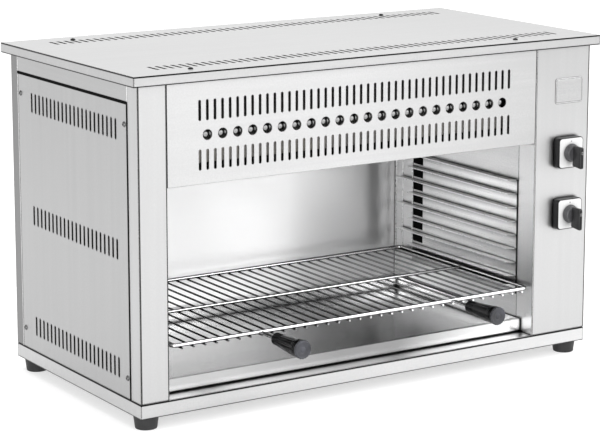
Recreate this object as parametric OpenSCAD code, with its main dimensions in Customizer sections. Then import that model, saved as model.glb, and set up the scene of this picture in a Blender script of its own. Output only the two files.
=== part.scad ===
// Cheese melter: a worktop grill with heating elements overhead, a sliding wire grid and a crumb tray.
// X runs across the front, Y from the front to the back and Z up from the worktop.
// The modules draw in the frame of the body, where Y = 0 is the columns' front face.
// placed() moves that frame so that the whole machine is centred on the origin.

/* [Body] */
// Width over the two side panels
body_w = 800; // [700:10:1000]
// Depth from the columns' front face to the rear panel's back
body_d = 400; // [380:5:480]
// Height of the columns from the deck to the lower edge of the cap's lip
column_h = 453; // [440:1:520]
// Thickness of the stainless steel sheet
sheet = 1.2; // [0.8:0.1:1.5]
// Height of the base pan with the deck
base_h = 22; // [16:1:40]
// How far the deck's edge lies behind the base pan's faces
deck_inset = 1; // [0.5:0.1:2]
// Width of the base pan's inward flange
base_flange = 14; // [8:1:20]

/* [Feet] */
// Height of a foot
foot_h = 20; // [12:1:40]
// Diameter of a foot where it meets the base
foot_d = 37; // [30:1:40]
// Diameter of a foot on the worktop
foot_tip_d = 32; // [26:1:40]
// From the side of the base to a foot's centre
foot_in_x = 20.5; // [20:0.5:60]
// From the front or back of the base to a foot's centre
foot_in_y = 24; // [20:0.5:60]
// Diameter of the foot screws' thread
foot_screw_d = 6; // [5:0.5:8]

/* [Columns] */
// Width of the left column's face
left_col_w = 45.5; // [40:0.5:70]
// Width of the control column's face
right_col_w = 104.5; // [90:0.5:140]
// Depth of a column's outer return
outer_return = 30; // [20:1:40]
// Depth of a column's return on the chamber side
inner_return = 40; // [30:1:50]
// Width of the rear panel's returns round the back corners
rear_return = 22; // [14:1:30]
// Width of the flanges behind a side panel's edges
joggle_w = 17; // [14:1:22]

/* [Cap] */
// Height of the cap's lip
cap_lip = 15; // [10:1:30]
// Overhang at each side
cap_side = 11; // [8:1:25]
// Overhang at the front
cap_front = 11; // [8:1:25]
// Overhang at the back
cap_back = 11; // [8:1:25]
// Width of the lip's inward return
cap_return = 7; // [4:0.5:7]
// Length of a slot in the cap
cap_slot_l = 31; // [20:1:40]
// Distance from one slot in the cap to the next
cap_slot_pitch = 12.4; // [10:0.1:20]
// From the front face to the middle of the front row of slots
cap_row_front = 49; // [44:1:60]
// From the rear panel's back to the middle of the rear row of slots
cap_row_rear = 42; // [36:1:60]
// From the front face to the front cap screws
cap_screw_front = 17; // [10:0.5:17]
// From the rear panel's back to the rear cap screws
cap_screw_rear = 21; // [10:0.5:22]

/* [Vents] */
// Width of all the slots
slot_w = 4; // [3:0.5:6]
// Height of the vent panel below the cap's lip
fascia_h = 147; // [140:1:160]
// From the cap's lip down to the middle of the vent panel's upper slots
fascia_row_top = 42; // [36:0.5:50]
// From the cap's lip down to the middle of the vent panel's lower slots
fascia_row_low = 112.5; // [104:0.5:118]
// Length of a slot in the vent panel
fascia_slot_l = 29.5; // [20:0.5:34]
// Distance from one slot in the vent panel to the next
fascia_slot_pitch = 12.35; // [10:0.05:20]
// Diameter of the round holes between the two rows of slots
fascia_hole_d = 15; // [10:0.5:18]
// Gap at each end of the vent panel
fascia_gap = 1; // [0.5:0.1:2]
// Depth of the flange along the vent panel's top
fascia_flange = 22; // [20:1:26]
// Depth of the flange along the rear panel's top
rear_flange = 26; // [25:1:30]
// Length of a slot in a side panel
side_slot_l = 29; // [20:1:36]
// Distance from one slot in a side panel to the next
side_slot_pitch = 12.7; // [10:0.1:20]
// From a side panel's ends to the middle of the outer rows of slots
side_row_end = 40; // [32:1:60]
// From a side panel's front edge to its first slot
side_slot_in = 33.5; // [24:0.5:60]
// From a side panel's edges to its screws
screw_edge = 8; // [6:0.5:8.5]
// From a side panel's ends to its screws
screw_end = 30; // [20:1:60]
// Gap above a side panel
panel_gap_top = 1.5; // [0.5:0.1:3]
// Gap at the two upright edges of a side panel
panel_gap = 1; // [0.5:0.1:2]
// Height of the rails above the side panels, without what the cap hides
rail_h = 26.5; // [20:0.5:40]
// Width of the flange along a rail's top
rail_flange = 18; // [12:1:24]

/* [Chamber] */
// Space between the chamber's back wall and the rear panel's back
rear_space = 26; // [20:0.5:30]
// Thickness of the insulation boards
board_t = 12; // [8:1:14]
// From the lower edge of the cap's lip down to the reflector
reflector_drop = 65; // [60:1:75]
// Height of the reflector's walls
reflector_h = 57; // [50:1:64]
// From the front face to the reflector's front wall
reflector_in = 15; // [12:1:20]
// Thickness of the insulation over the reflector
blanket_t = 20; // [12:1:25]

/* [Racks] */
// From the deck to the lowest runner, which carries the grid
rack_first = 74; // [65:1:80]
// From the deck to the second runner
rack_second = 110; // [108:1:114]
// Distance between the runners above that
rack_pitch = 44; // [40:1:50]
// How far the runners stand out from the wall
runner_w = 12; // [10:0.5:16]
// From a runner up to the guide that keeps the grid from tipping
guide_rise = 22; // [18:1:24]
// From the rack's plate to the chamber's back wall
rack_rear_gap = 50; // [44:1:70]

/* [Heating elements] */
// Diameter of the heating tube
tube_d = 8.5; // [6:0.5:10]
// Distance between the straight runs of one element
tube_pitch = 48; // [36:1:52]
// From the reflector's top down to the tube's centre line
tube_drop = 30; // [26:1:36]
// From the chamber's back wall to the rear ends of the straight runs
run_rear_gap = 78; // [70:1:90]
// From the ends of the straight runs to the two hangers
hanger_in = 50; // [30:1:90]
// How far the hangers reach below the tubes' centre line
hanger_low = 12; // [8:1:20]
// Space between a hanger and the chamber's sides
hanger_gap = 5; // [3:1:12]

/* [Switches] */
// From the right side of the body to the switches' axis
switch_from_side = 44; // [38:1:52]
// From the deck to the upper switch's axis
upper_switch_h = 288; // [270:1:300]
// From the deck to the lower switch's axis
lower_switch_h = 191; // [150:1:210]
// From the body's top down to the badge plate's middle
badge_drop = 69; // [50:1:90]
// Side of the square bezels
bezel_w = 48; // [46:1:50]
// Depth of the bezels
bezel_t = 14; // [10:0.5:20]
// Side of the switch bodies behind the panel
switch_w = 44; // [40:1:46]
// Depth of the switch bodies behind the panel
switch_depth = 46; // [40:1:60]
// Diameter of the switch spindles
spindle_d = 6; // [5:0.5:8]
// Diameter of a knob's hub
hub_d = 25.6; // [22:0.2:30]
// How far a knob stands out from its bezel
knob_h = 27; // [22:1:32]
// Thickness of a knob's grip
knob_grip_t = 8; // [6:0.5:10]

/* [Grid and tray] */
// Diameter of the bars round the grid
bar_d = 6; // [5:0.5:8]
// Diameter of the grid's thin wires
wire_d = 3; // [2:0.5:4]
// Distance from one thin wire to the next
wire_pitch = 19; // [14:0.5:24]
// Space between the grid and each rack plate
grid_clear = 4; // [3:0.5:6]
// From the front face to the centre of the grid's front bar
grid_front = 3.5; // [3.5:0.5:10]
// From the centre of the grid's rear bar to the chamber's back wall
grid_rear_gap = 27; // [24:1:60]
// From the grid's middle to each handle
handle_dx = 172; // [100:0.5:220]
// Diameter of the handles' wires
handle_wire_d = 3.2; // [3:0.1:4]
// Distance between the two wires of a handle
handle_wire_gap = 5; // [4.5:0.5:8]
// Length of the bare wires between the front bar and a grip
handle_neck = 41.5; // [30:0.5:60]
// Length of a grip
grip_l = 68; // [60:1:90]
// How far the handles' wires reach into a grip
wire_in_grip = 60; // [40:1:64]
// Diameter of a grip at its rear end
grip_rear_d = 18.5; // [17:0.5:22]
// Diameter of a grip at its front end
grip_front_d = 27; // [24:0.5:30]
// Thickness of a grip's end cap
grip_cap_t = 4; // [3:0.5:6]
// Height of the crumb tray
tray_h = 21.5; // [18:0.5:30]
// From the front face to the crumb tray's lip
tray_front = 28; // [24:1:45]
// From the crumb tray's back to the chamber's back wall
tray_rear_gap = 8; // [4:1:40]

/* [Connections] */
// From the right side of the body to the cable gland's axis
gland_from_side = 50; // [40:1:60]
// From the deck to the cable gland's axis
gland_h = 48; // [34:1:80]
// Diameter of the gland's thread
gland_d = 25; // [20:1:32]
// Diameter of the gland's bore
gland_bore_d = 13; // [8:0.5:16]
// How far the gland stands out from the rear panel
gland_out = 22; // [18:1:30]
// Diameter of the earth stud
stud_d = 6; // [5:1:8]
// How far the earth stud stands out from the rear panel
stud_out = 16; // [14:1:20]

/* [Hidden] */
$fn = 48;

// Colours
steel = "#c9cbcc";
bright_steel = "#dcdee0";
black = "#1c1c1e";
fibre = "#e6e2d6";

// Clearances: a slide over its track, a shaft in its bore, a screw in its hole, a part in a recess
slide_gap = 0.2;
run_gap = 0.04;
hole_gap = 0.25;
recess_gap = 0.2;

// Heights
deck_z = foot_h + base_h;
body_top = deck_z + column_h;
cap_top = body_top + cap_lip;
frame_top = cap_top - sheet;
panel_top = body_top - rail_h - panel_gap_top;
reflector_top = body_top - reflector_drop;
wall_top = reflector_top - sheet;
tube_z = reflector_top - tube_drop;
rack_first_z = deck_z + rack_first;
grid_z = rack_first_z + slide_gap + bar_d / 2;

// Places across the front
side_x = body_w / 2;
left_in = -side_x + left_col_w;
right_in = side_x - right_col_w;
chamber_w = right_in - left_in;
mid_x = (left_in + right_in) / 2;
switch_x = side_x - switch_from_side;
gland_x = side_x - gland_from_side;

// Places along the depth
back_in = body_d - rear_space;
rack_rear = back_in - rack_rear_gap;
grid_rear = back_in - grid_rear_gap;
tray_rear = back_in - tray_rear_gap;
reflector_gap = 0.5;
reflector_x = left_in + reflector_gap;
reflector_w = chamber_w - 2 * reflector_gap;
reflector_d = back_in - reflector_gap - reflector_in;
grip_start = grid_front - bar_d / 2 - handle_neck;
front_reach = grip_l + grip_cap_t - grip_start;
rear_reach = max(cap_back, gland_out, stud_out);

// Side panels and their screws
panel_front = outer_return + panel_gap;
panel_rear = body_d - rear_return - panel_gap;
panel_screw_ys = [panel_front + screw_edge, panel_rear - screw_edge];
panel_screw_zs = [deck_z + screw_end, panel_top - screw_end];

// Small screws: thread and head
screw_d = 4;
screw_head_d = 8;
screw_head_t = 2.2;
screw_l = 8;

// Cap screws: places across the front
cap_screw_xs = [left_in + 49, right_in - 29];
cap_screw_ys = [cap_screw_front, body_d - cap_screw_rear];

// Runners and guides: the height of each top face above the worktop
runner_zs = [rack_first_z, for (i = [0:2]) deck_z + rack_second + i * rack_pitch];
guide_zs = [for (i = [0:3]) deck_z + rack_second + (i - 1) * rack_pitch + guide_rise];
rack_top = guide_zs[3] + guide_rise;
rack_bottom = rack_first_z - 15;
rack_window = [26, 10.6];

// Heating elements: straight runs, bends and terminals
tube_runs = 6;
run_front = reflector_in + sheet + tube_pitch / 2 + 20;
run_rear = back_in - run_rear_gap;
bend_r = 15;
terminal_y = run_rear + bend_r;
terminal_top = reflector_top + 38;
zone_xs = [mid_x - chamber_w / 4, mid_x + chamber_w / 4];
run_offsets = [for (i = [0:tube_runs - 1]) (i - (tube_runs - 1) / 2) * tube_pitch];
terminal_xs = [for (x = zone_xs, o = [run_offsets[0], run_offsets[tube_runs - 1]]) x + o];
tube_hole_d = 14;
nut_t = 6;
ferrule_t = 3;
bead_t = 18;

// Switches
upper_z = deck_z + upper_switch_h;
lower_z = deck_z + lower_switch_h;
plate_t = 0.8;
bezel_rim = 1.2;
knob_gap = 0.3;
skirt_t = 2;
hub_t = 6.7;
knob_front = -bezel_t - knob_h;
spindle_front = knob_front + 9.3;
spindle_rear = sheet + 35;
switch_screw_offset = 15.5;

// Wiring
loom_d = 10;
loom_gap = 0.3;
loom_x = side_x - 50;
loom_z = terminal_top + loom_gap + loom_d / 2;
block_size = [54, 30, 28];

// Grid: the wires lie under the bars and are welded half a millimetre deep
weld = 0.5;
grid_half = chamber_w / 2 - sheet - grid_clear;
wire_z = grid_z - bar_d / 2 - wire_d / 2 + weld;
wires_each_side = floor((grid_half - bar_d - wire_d) / wire_pitch);
cross_d = bar_d - 1;
cross_y = (grid_front + grid_rear) / 2;
wire_over = 2;
handle_wire_end = grip_start - wire_in_grip;

// Moves the body's frame to the machine's frame
module placed() {
    translate([0, (front_reach - rear_reach - body_d) / 2, 0])
        children();
}

// A box from one corner and its size
module box(corner, size) {
    translate(corner)
        cube(size);
}

// Mirrors a left-hand part to the right side of the body
module right_hand() {
    mirror([1, 0, 0])
        children();
}

// Mirrors a part of the chamber's left side to its right side
module chamber_right() {
    translate([2 * mid_x, 0, 0])
        mirror([1, 0, 0])
            children();
}

// A flat shape drawn as (x, z), from y onwards to the back
module facing_front(y, t) {
    translate([0, y + t, 0])
        rotate([90, 0, 0])
            linear_extrude(t)
                children();
}

// A flat shape drawn as (y, z), from x onwards to the right
module facing_side(x, t) {
    translate([x, 0, 0])
        rotate([90, 0, 90])
            linear_extrude(t)
                children();
}

// A cylinder along Y
module rod_y(x, y0, y1, z, d) {
    translate([x, y1, z])
        rotate([90, 0, 0])
            cylinder(d = d, h = y1 - y0);
}

// A cylinder along X
module rod_x(x0, x1, y, z, d) {
    translate([x0, y, z])
        rotate([0, 90, 0])
            cylinder(d = d, h = x1 - x0);
}

// A cylinder along Z
module rod_z(x, y, z0, z1, d) {
    translate([x, y, z0])
        cylinder(d = d, h = z1 - z0);
}

// A slot with round ends, upright in its plane
module slot(l, w) {
    square([w, l - w], center = true);
    for (s = [-1, 1])
        translate([0, s * (l - w) / 2])
            circle(d = w);
}

// A rectangle with round corners
module rounded(w, h, r) {
    square([w - 2 * r, h], center = true);
    square([w, h - 2 * r], center = true);
    for (sx = [-1, 1], sy = [-1, 1])
        translate([sx * (w / 2 - r), sy * (h / 2 - r)])
            circle(r = r);
}

// A hexagon by its width across flats
module hexagon(across) {
    circle(d = across / cos(30), $fn = 6);
}

// Base: a folded pan with a flange along its top, closed by the deck
module base_pan() {
    color(steel)
        placed()
            difference() {
                box([-side_x, 0, foot_h], [body_w, body_d, base_h - sheet]);
                box([-side_x + sheet, sheet, foot_h + sheet],
                    [body_w - 2 * sheet, body_d - 2 * sheet, base_h - 3 * sheet]);
                box([-side_x + base_flange, base_flange, foot_h + sheet],
                    [body_w - 2 * base_flange, body_d - 2 * base_flange, base_h]);
                foot_places()
                    cylinder(d = foot_screw_d + 2 * hole_gap, h = foot_h + base_h);
            }
}

module deck() {
    color(bright_steel)
        placed()
            box([-side_x + deck_inset, deck_inset, deck_z - sheet],
                [body_w - 2 * deck_inset, body_d - 2 * deck_inset, sheet]);
}

// Feet: rubber cones with a screw up through the middle
module foot_places() {
    for (sx = [-1, 1], y = [foot_in_y, body_d - foot_in_y])
        translate([sx * (side_x - foot_in_x), y, 0])
            children();
}

module foot(sx, y) {
    color(black)
        placed()
            translate([sx * (side_x - foot_in_x), y, 0])
                difference() {
                    cylinder(d1 = foot_tip_d, d2 = foot_d, h = foot_h);
                    translate([0, 0, -1])
                        cylinder(d = 2 * foot_screw_d + 1, h = foot_h / 2 + 1);
                    cylinder(d = foot_screw_d + 2 * hole_gap, h = foot_h + 1);
                }
}

module foot_front_left() {
    foot(-1, foot_in_y);
}

module foot_front_right() {
    foot(1, foot_in_y);
}

module foot_rear_left() {
    foot(-1, body_d - foot_in_y);
}

module foot_rear_right() {
    foot(1, body_d - foot_in_y);
}

module foot_screws() {
    color(steel)
        placed()
            foot_places() {
                translate([0, 0, foot_h / 2 - 4])
                    cylinder(d = 2 * foot_screw_d, h = 4);
                translate([0, 0, foot_h / 2 - 1])
                    cylinder(d = foot_screw_d, h = foot_h / 2 + sheet + 8);
            }
}

module foot_nuts() {
    color(steel)
        placed()
            foot_places()
                translate([0, 0, foot_h + sheet])
                    linear_extrude(5)
                        difference() {
                            hexagon(foot_screw_d + 4);
                            circle(d = foot_screw_d + 0.2);
                        }
}

// Columns: a face with a return at each side, and a set-back flange that carries the side panel
module column_shape(w) {
    square([w, sheet]);
    square([sheet, outer_return]);
    translate([0, outer_return - sheet])
        square([2 * sheet, sheet]);
    translate([sheet, outer_return - sheet])
        square([sheet, joggle_w + sheet]);
    translate([w - sheet, 0])
        square([sheet, inner_return]);
}

module column(w) {
    difference() {
        translate([-side_x, 0, deck_z])
            linear_extrude(frame_top - deck_z)
                column_shape(w);
        for (z = panel_screw_zs)
            rod_x(-side_x, -side_x + 3 * sheet, panel_screw_ys[0], z, screw_d + 0.2);
    }
}

module left_column() {
    color(steel)
        placed()
            column(left_col_w);
}

module control_column() {
    color(steel)
        placed()
            difference() {
                right_hand()
                    column(right_col_w);
                for (z = [upper_z, lower_z]) {
                    rod_y(switch_x, -1, sheet + 1, z, 2 * spindle_d);
                    switch_screw_places(z)
                        rod_y(0, -1, sheet + 1, 0, screw_d + 2 * hole_gap);
                }
            }
}

// Rails: the strip above each side panel, flush with it, with a flange under the cap
module top_rail() {
    rail_bottom = panel_top + panel_gap_top;
    y0 = outer_return;
    y1 = body_d - rear_return;
    box([-side_x, y0, rail_bottom], [sheet, y1 - y0, frame_top - rail_bottom]);
    box([-side_x, y0 + joggle_w, frame_top - sheet], [rail_flange, y1 - y0 - 2 * joggle_w, sheet]);
    box([-side_x, y0 + joggle_w, rail_bottom], [2 * sheet, y1 - y0 - 2 * joggle_w, sheet]);
    box([-side_x + sheet, y0 + joggle_w, rail_bottom - joggle_w],
        [sheet, y1 - y0 - 2 * joggle_w, joggle_w + sheet]);
}

module left_top_rail() {
    color(steel)
        placed()
            top_rail();
}

module right_top_rail() {
    color(steel)
        placed()
            right_hand()
                top_rail();
}

// Rear panel: wraps round the back corners and carries the gland and the earth stud
module rear_return_shape() {
    translate([0, body_d - rear_return])
        square([sheet, rear_return]);
    translate([0, body_d - rear_return])
        square([2 * sheet, sheet]);
    translate([sheet, body_d - rear_return - joggle_w])
        square([sheet, joggle_w + sheet]);
}

module rear_vents() {
    pitch = 2 * side_slot_pitch;
    count = floor((chamber_w - 60) / pitch);
    for (z = [deck_z + 60, wall_top + 45], i = [0:count - 1])
        translate([mid_x + (i - (count - 1) / 2) * pitch, z])
            slot(side_slot_l, slot_w);
}

module rear_panel() {
    color(steel)
        placed()
            difference() {
                union() {
                    facing_front(body_d - sheet, sheet)
                        difference() {
                            translate([-side_x, deck_z])
                                square([body_w, frame_top - deck_z]);
                            rear_vents();
                        }
                    for (s = [0, 1])
                        mirror([s, 0, 0])
                            translate([-side_x, 0, deck_z])
                                linear_extrude(frame_top - deck_z)
                                    rear_return_shape();
                    box([-side_x + 23, body_d - rear_flange, frame_top - sheet],
                        [body_w - 46, rear_flange, sheet]);
                }
                for (sx = [-1, 1], z = panel_screw_zs)
                    rod_x(sx * (side_x - 1.5 * sheet) - 1.5 * sheet, sx * (side_x - 1.5 * sheet) + 1.5 * sheet,
                          panel_screw_ys[1], z, screw_d + 0.2);
                for (x = cap_screw_xs)
                    rod_z(x, cap_screw_ys[1], frame_top - 2 * sheet, frame_top + 1, screw_d + 0.2);
                rod_y(gland_x, body_d - 2 * sheet, body_d + 1, deck_z + gland_h, gland_d + 0.4);
                rod_y(stud_x, body_d - 2 * sheet, body_d + 1, stud_z, stud_d + 0.4);
            }
}

// Side panels: three rows of slots and four screws
module side_panel() {
    slot_front = panel_front + side_slot_in;
    count = floor((panel_rear - 43 - slot_front) / side_slot_pitch + 0.001) + 1;
    rows = [deck_z + side_row_end, (deck_z + panel_top) / 2, panel_top - side_row_end];
    facing_side(-side_x, sheet)
        difference() {
            translate([panel_front, deck_z])
                square([panel_rear - panel_front, panel_top - deck_z]);
            for (z = rows, i = [0:count - 1])
                translate([slot_front + i * side_slot_pitch, z])
                    slot(side_slot_l, slot_w);
            for (y = panel_screw_ys, z = panel_screw_zs)
                translate([y, z])
                    circle(d = screw_d + 2 * hole_gap);
        }
}

module left_side_panel() {
    color(steel)
        placed()
            side_panel();
}

module right_side_panel() {
    color(steel)
        placed()
            right_hand()
                side_panel();
}

// A button-head screw that points down its own -Z, with the head's flat side at Z = 0
module button_screw() {
    translate([0, 0, -screw_l])
        cylinder(d = screw_d, h = screw_l + 0.5);
    rotate_extrude()
        intersection() {
            translate([0, screw_head_t - screw_head_d * 0.8])
                circle(r = screw_head_d * 0.8);
            square([screw_head_d / 2, screw_head_t]);
        }
}

module side_panel_screws() {
    color(black)
        placed()
            for (s = [0, 1], y = panel_screw_ys, z = panel_screw_zs)
                mirror([s, 0, 0])
                    translate([-side_x, y, z])
                        rotate([0, -90, 0])
                            button_screw();
}

// Cap: a shallow lid turned upside down, with a row of slots along the front and one along the back
module cap_slots() {
    first = -side_x + 52.5;
    count = floor((body_w - 52.5 - 36.5) / cap_slot_pitch + 0.001) + 1;
    for (y = [cap_row_front, body_d - cap_row_rear], i = [0:count - 1])
        translate([first + i * cap_slot_pitch, y])
            slot(cap_slot_l, slot_w);
}

module top_cap() {
    outer = [body_w + 2 * cap_side, body_d + cap_front + cap_back];
    corner = [-side_x - cap_side, -cap_front];
    color(steel)
        placed() {
            translate([0, 0, frame_top])
                linear_extrude(sheet)
                    difference() {
                        translate(corner)
                            square(outer);
                        cap_slots();
                        for (x = cap_screw_xs, y = cap_screw_ys)
                            translate([x, y])
                                circle(d = screw_d + 2 * hole_gap);
                    }
            difference() {
                box([corner.x, corner.y, body_top], [outer.x, outer.y, cap_lip]);
                box([corner.x + sheet, corner.y + sheet, body_top + sheet],
                    [outer.x - 2 * sheet, outer.y - 2 * sheet, cap_lip]);
                box([corner.x + cap_return, corner.y + cap_return, body_top - 1],
                    [outer.x - 2 * cap_return, outer.y - 2 * cap_return, cap_lip]);
            }
        }
}

module cap_screws() {
    color(black)
        placed()
            for (x = cap_screw_xs, y = cap_screw_ys)
                translate([x, y, cap_top])
                    button_screw();
}

// Vent panel: two rows of slots, with a round hole under every second slot
module fascia_holes() {
    count = floor((chamber_w - 104) / fascia_slot_pitch + 0.001) + 1;
    first = mid_x - (count - 1) / 2 * fascia_slot_pitch;
    upper = body_top - fascia_row_top;
    lower = body_top - fascia_row_low;
    for (i = [0:count - 1], z = [upper, lower])
        translate([first + i * fascia_slot_pitch, z])
            slot(fascia_slot_l, slot_w);
    for (i = [1:2:count - 2])
        translate([first + i * fascia_slot_pitch, (upper + lower) / 2])
            circle(d = fascia_hole_d);
}

module vent_fascia() {
    x0 = left_in + fascia_gap;
    w = chamber_w - 2 * fascia_gap;
    z0 = body_top - fascia_h;
    end_return = 11;
    color(bright_steel)
        placed()
            difference() {
                union() {
                    facing_front(0, sheet)
                        difference() {
                            translate([x0, z0])
                                square([w, frame_top - z0]);
                            fascia_holes();
                        }
                    box([x0, 0, z0], [w, end_return, sheet]);
                    box([x0, 0, frame_top - sheet], [w, fascia_flange, sheet]);
                    for (x = [x0, x0 + w - sheet])
                        box([x, 0, z0], [sheet, end_return, frame_top - z0]);
                }
                for (x = cap_screw_xs)
                    rod_z(x, cap_screw_ys[0], frame_top - 2 * sheet, frame_top + 1, screw_d + 0.2);
            }
}

// Chamber: two walls and a back that stand on the deck
module chamber_wall() {
    box([left_in - sheet, inner_return, deck_z], [sheet, back_in - inner_return, wall_top - deck_z]);
}

module left_chamber_wall() {
    color(bright_steel)
        placed()
            chamber_wall();
}

module right_chamber_wall() {
    color(bright_steel)
        placed()
            chamber_right()
                chamber_wall();
}

module chamber_back() {
    color(bright_steel)
        placed()
            box([left_in - sheet, back_in, deck_z], [chamber_w + 2 * sheet, sheet, wall_top - deck_z]);
}

// Insulation boards behind the chamber's walls
module side_board() {
    box([left_in - sheet - board_t, inner_return + 1, deck_z],
        [board_t, back_in - inner_return - 1, wall_top - deck_z]);
}

module left_insulation() {
    color(fibre)
        placed()
            side_board();
}

module right_insulation() {
    color(fibre)
        placed()
            chamber_right()
                side_board();
}

module rear_insulation() {
    color(fibre)
        placed()
            box([left_in, back_in + sheet, deck_z], [chamber_w, board_t, wall_top - deck_z]);
}

// Reflector: a flat sheet over the elements, hung from wings that rest on the chamber's walls
module reflector() {
    wing = 11;
    color(bright_steel)
        placed()
            difference() {
                union() {
                    box([reflector_x, reflector_in, wall_top], [reflector_w, reflector_d, sheet]);
                    box([left_in - wing, inner_return + reflector_gap, wall_top],
                        [chamber_w + 2 * wing, back_in + 8 - inner_return - reflector_gap, sheet]);
                }
                for (x = terminal_xs)
                    rod_z(x, terminal_y, wall_top - 1, reflector_top + 1, tube_hole_d);
            }
}

// Four strips spot welded under the reflector's edges, open at the corners
module reflector_skirt() {
    z0 = reflector_top - reflector_h;
    h = wall_top - z0;
    side_in = sheet + reflector_gap;
    color(bright_steel)
        placed() {
            for (y = [reflector_in, reflector_in + reflector_d - sheet])
                box([reflector_x, y, z0], [reflector_w, sheet, h]);
            for (x = [reflector_x, reflector_x + reflector_w - sheet])
                box([x, reflector_in + side_in, z0], [sheet, reflector_d - 2 * side_in, h]);
        }
}

module insulation_blanket() {
    color(fibre)
        placed()
            difference() {
                box([left_in - 10, inner_return + 5, reflector_top],
                    [chamber_w + 20, back_in - inner_return - 2, blanket_t]);
                for (x = terminal_xs)
                    rod_z(x, terminal_y, reflector_top - 1, reflector_top + blanket_t + 1, 2 * tube_hole_d);
            }
}

// Racks: a plate on the wall with runners and guides that have a cut front corner
module ledge(z, y1) {
    cut = 10;
    translate([left_in, 0, z - sheet])
        linear_extrude(sheet)
            polygon([[0, inner_return], [runner_w + sheet, inner_return + cut], [runner_w + sheet, y1], [0, y1]]);
}

module rack() {
    difference() {
        box([left_in, inner_return, rack_bottom],
            [sheet, rack_rear - inner_return, rack_top - rack_bottom]);
        for (z = [for (i = [1:3]) runner_zs[i] - guide_rise / 2, for (i = [1:3]) guide_zs[i] - guide_rise / 2,
                  rack_top - guide_rise / 2])
            box([left_in - 1, rack_rear - rack_window.x - 4, z - (sheet + rack_window.y) / 2],
                [sheet + 2, rack_window.x, rack_window.y]);
    }
    for (z = runner_zs)
        ledge(z, rack_rear + 30);
    for (z = [for (g = guide_zs) g, rack_top])
        ledge(z, rack_rear);
}

module left_rack() {
    color(steel)
        placed()
            rack();
}

module right_rack() {
    color(steel)
        placed()
            chamber_right()
                rack();
}

// Heating elements: one tube for each half, folded back and forth, with both ends turned up
module element(x) {
    for (o = run_offsets)
        rod_y(x + o, run_front, run_rear, tube_z, tube_d);
    for (i = [0:tube_runs - 2])
        translate([x + run_offsets[i] + tube_pitch / 2, i % 2 == 0 ? run_front : run_rear, tube_z])
            rotate([0, 0, i % 2 == 0 ? 180 : 0])
                rotate_extrude(angle = 180)
                    translate([tube_pitch / 2, 0])
                        circle(d = tube_d);
    for (o = [run_offsets[0], run_offsets[tube_runs - 1]]) {
        translate([x + o, run_rear, tube_z + bend_r])
            rotate([0, 90, 0])
                rotate_extrude(angle = 90)
                    translate([bend_r, 0])
                        circle(d = tube_d);
        rod_z(x + o, terminal_y, tube_z + bend_r, terminal_top, tube_d);
    }
}

module left_element() {
    color("#6f6a66")
        placed()
            element(zone_xs[0]);
}

module right_element() {
    color("#6f6a66")
        placed()
            element(zone_xs[1]);
}

// Two bars with a hole round each run of the elements, under the reflector
module element_hangers() {
    color(steel)
        placed()
            for (y = [run_front + hanger_in, run_rear - hanger_in])
                facing_front(y, sheet)
                    difference() {
                        translate([left_in + hanger_gap, tube_z - hanger_low])
                            square([chamber_w - 2 * hanger_gap, wall_top - tube_z + hanger_low]);
                        for (x = zone_xs, o = run_offsets)
                            translate([x + o, tube_z])
                                circle(d = tube_d + 2 * hole_gap);
                    }
}

// A ferrule under the reflector and a nut on it at each element end
module element_nuts() {
    color("#b9a26a")
        placed()
            for (x = terminal_xs)
                translate([x, terminal_y, 0]) {
                    translate([0, 0, wall_top - ferrule_t])
                        linear_extrude(ferrule_t)
                            difference() {
                                circle(d = tube_hole_d + 3);
                                circle(d = tube_d + 0.2);
                            }
                    translate([0, 0, reflector_top])
                        linear_extrude(nut_t)
                            difference() {
                                hexagon(tube_hole_d + 4);
                                circle(d = tube_d + 0.2);
                            }
                }
}

module element_beads() {
    color("#efece4")
        placed()
            for (x = terminal_xs)
                translate([x, terminal_y, reflector_top + nut_t])
                    linear_extrude(bead_t)
                        difference() {
                            circle(d = tube_hole_d);
                            circle(d = tube_d + 0.2);
                        }
}

// Switches: a body behind the panel and a bezel in front, held together by two screws
module switch_screw_places(z) {
    for (s = [-1, 1])
        translate([switch_x + s * switch_screw_offset, 0, z + s * switch_screw_offset])
            children();
}

module switch_body(z) {
    color(black)
        placed()
            difference() {
                box([switch_x - switch_w / 2, sheet, z - switch_w / 2], [switch_w, switch_depth, switch_w]);
                rod_y(switch_x, sheet - 1, spindle_rear + 1, z, spindle_d + 2 * run_gap);
                switch_screw_places(z)
                    rod_y(0, sheet - 1, sheet + 12, 0, screw_d + 0.2);
            }
}

module upper_switch() {
    switch_body(upper_z);
}

module lower_switch() {
    switch_body(lower_z);
}

module bezel(z) {
    recess = bezel_w - 2 * bezel_rim;
    color(black)
        placed()
            difference() {
                translate([switch_x, 0, z])
                    facing_front(-bezel_t, bezel_t)
                        rounded(bezel_w, bezel_w, 6);
                translate([switch_x, 0, z])
                    facing_front(-bezel_t - 1, plate_t + 1)
                        rounded(recess, recess, 5);
                rod_y(switch_x, -bezel_t, 1, z, spindle_d + 2);
                switch_screw_places(z) {
                    rod_y(0, -bezel_t, 1, 0, screw_d + 2 * hole_gap);
                    rod_y(0, -bezel_t, -bezel_t / 2, 0, screw_head_d + 2 * hole_gap);
                }
            }
}

module upper_bezel() {
    bezel(upper_z);
}

module lower_bezel() {
    bezel(lower_z);
}

module switch_plate(z) {
    side = bezel_w - 2 * bezel_rim - 2 * recess_gap;
    color("#f4f4f2")
        placed()
            translate([switch_x, 0, z])
                facing_front(-bezel_t, plate_t)
                    difference() {
                        rounded(side, side, 5 - recess_gap);
                        circle(d = spindle_d + 2);
                    }
}

module upper_plate() {
    switch_plate(upper_z);
}

module lower_plate() {
    switch_plate(lower_z);
}

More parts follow.
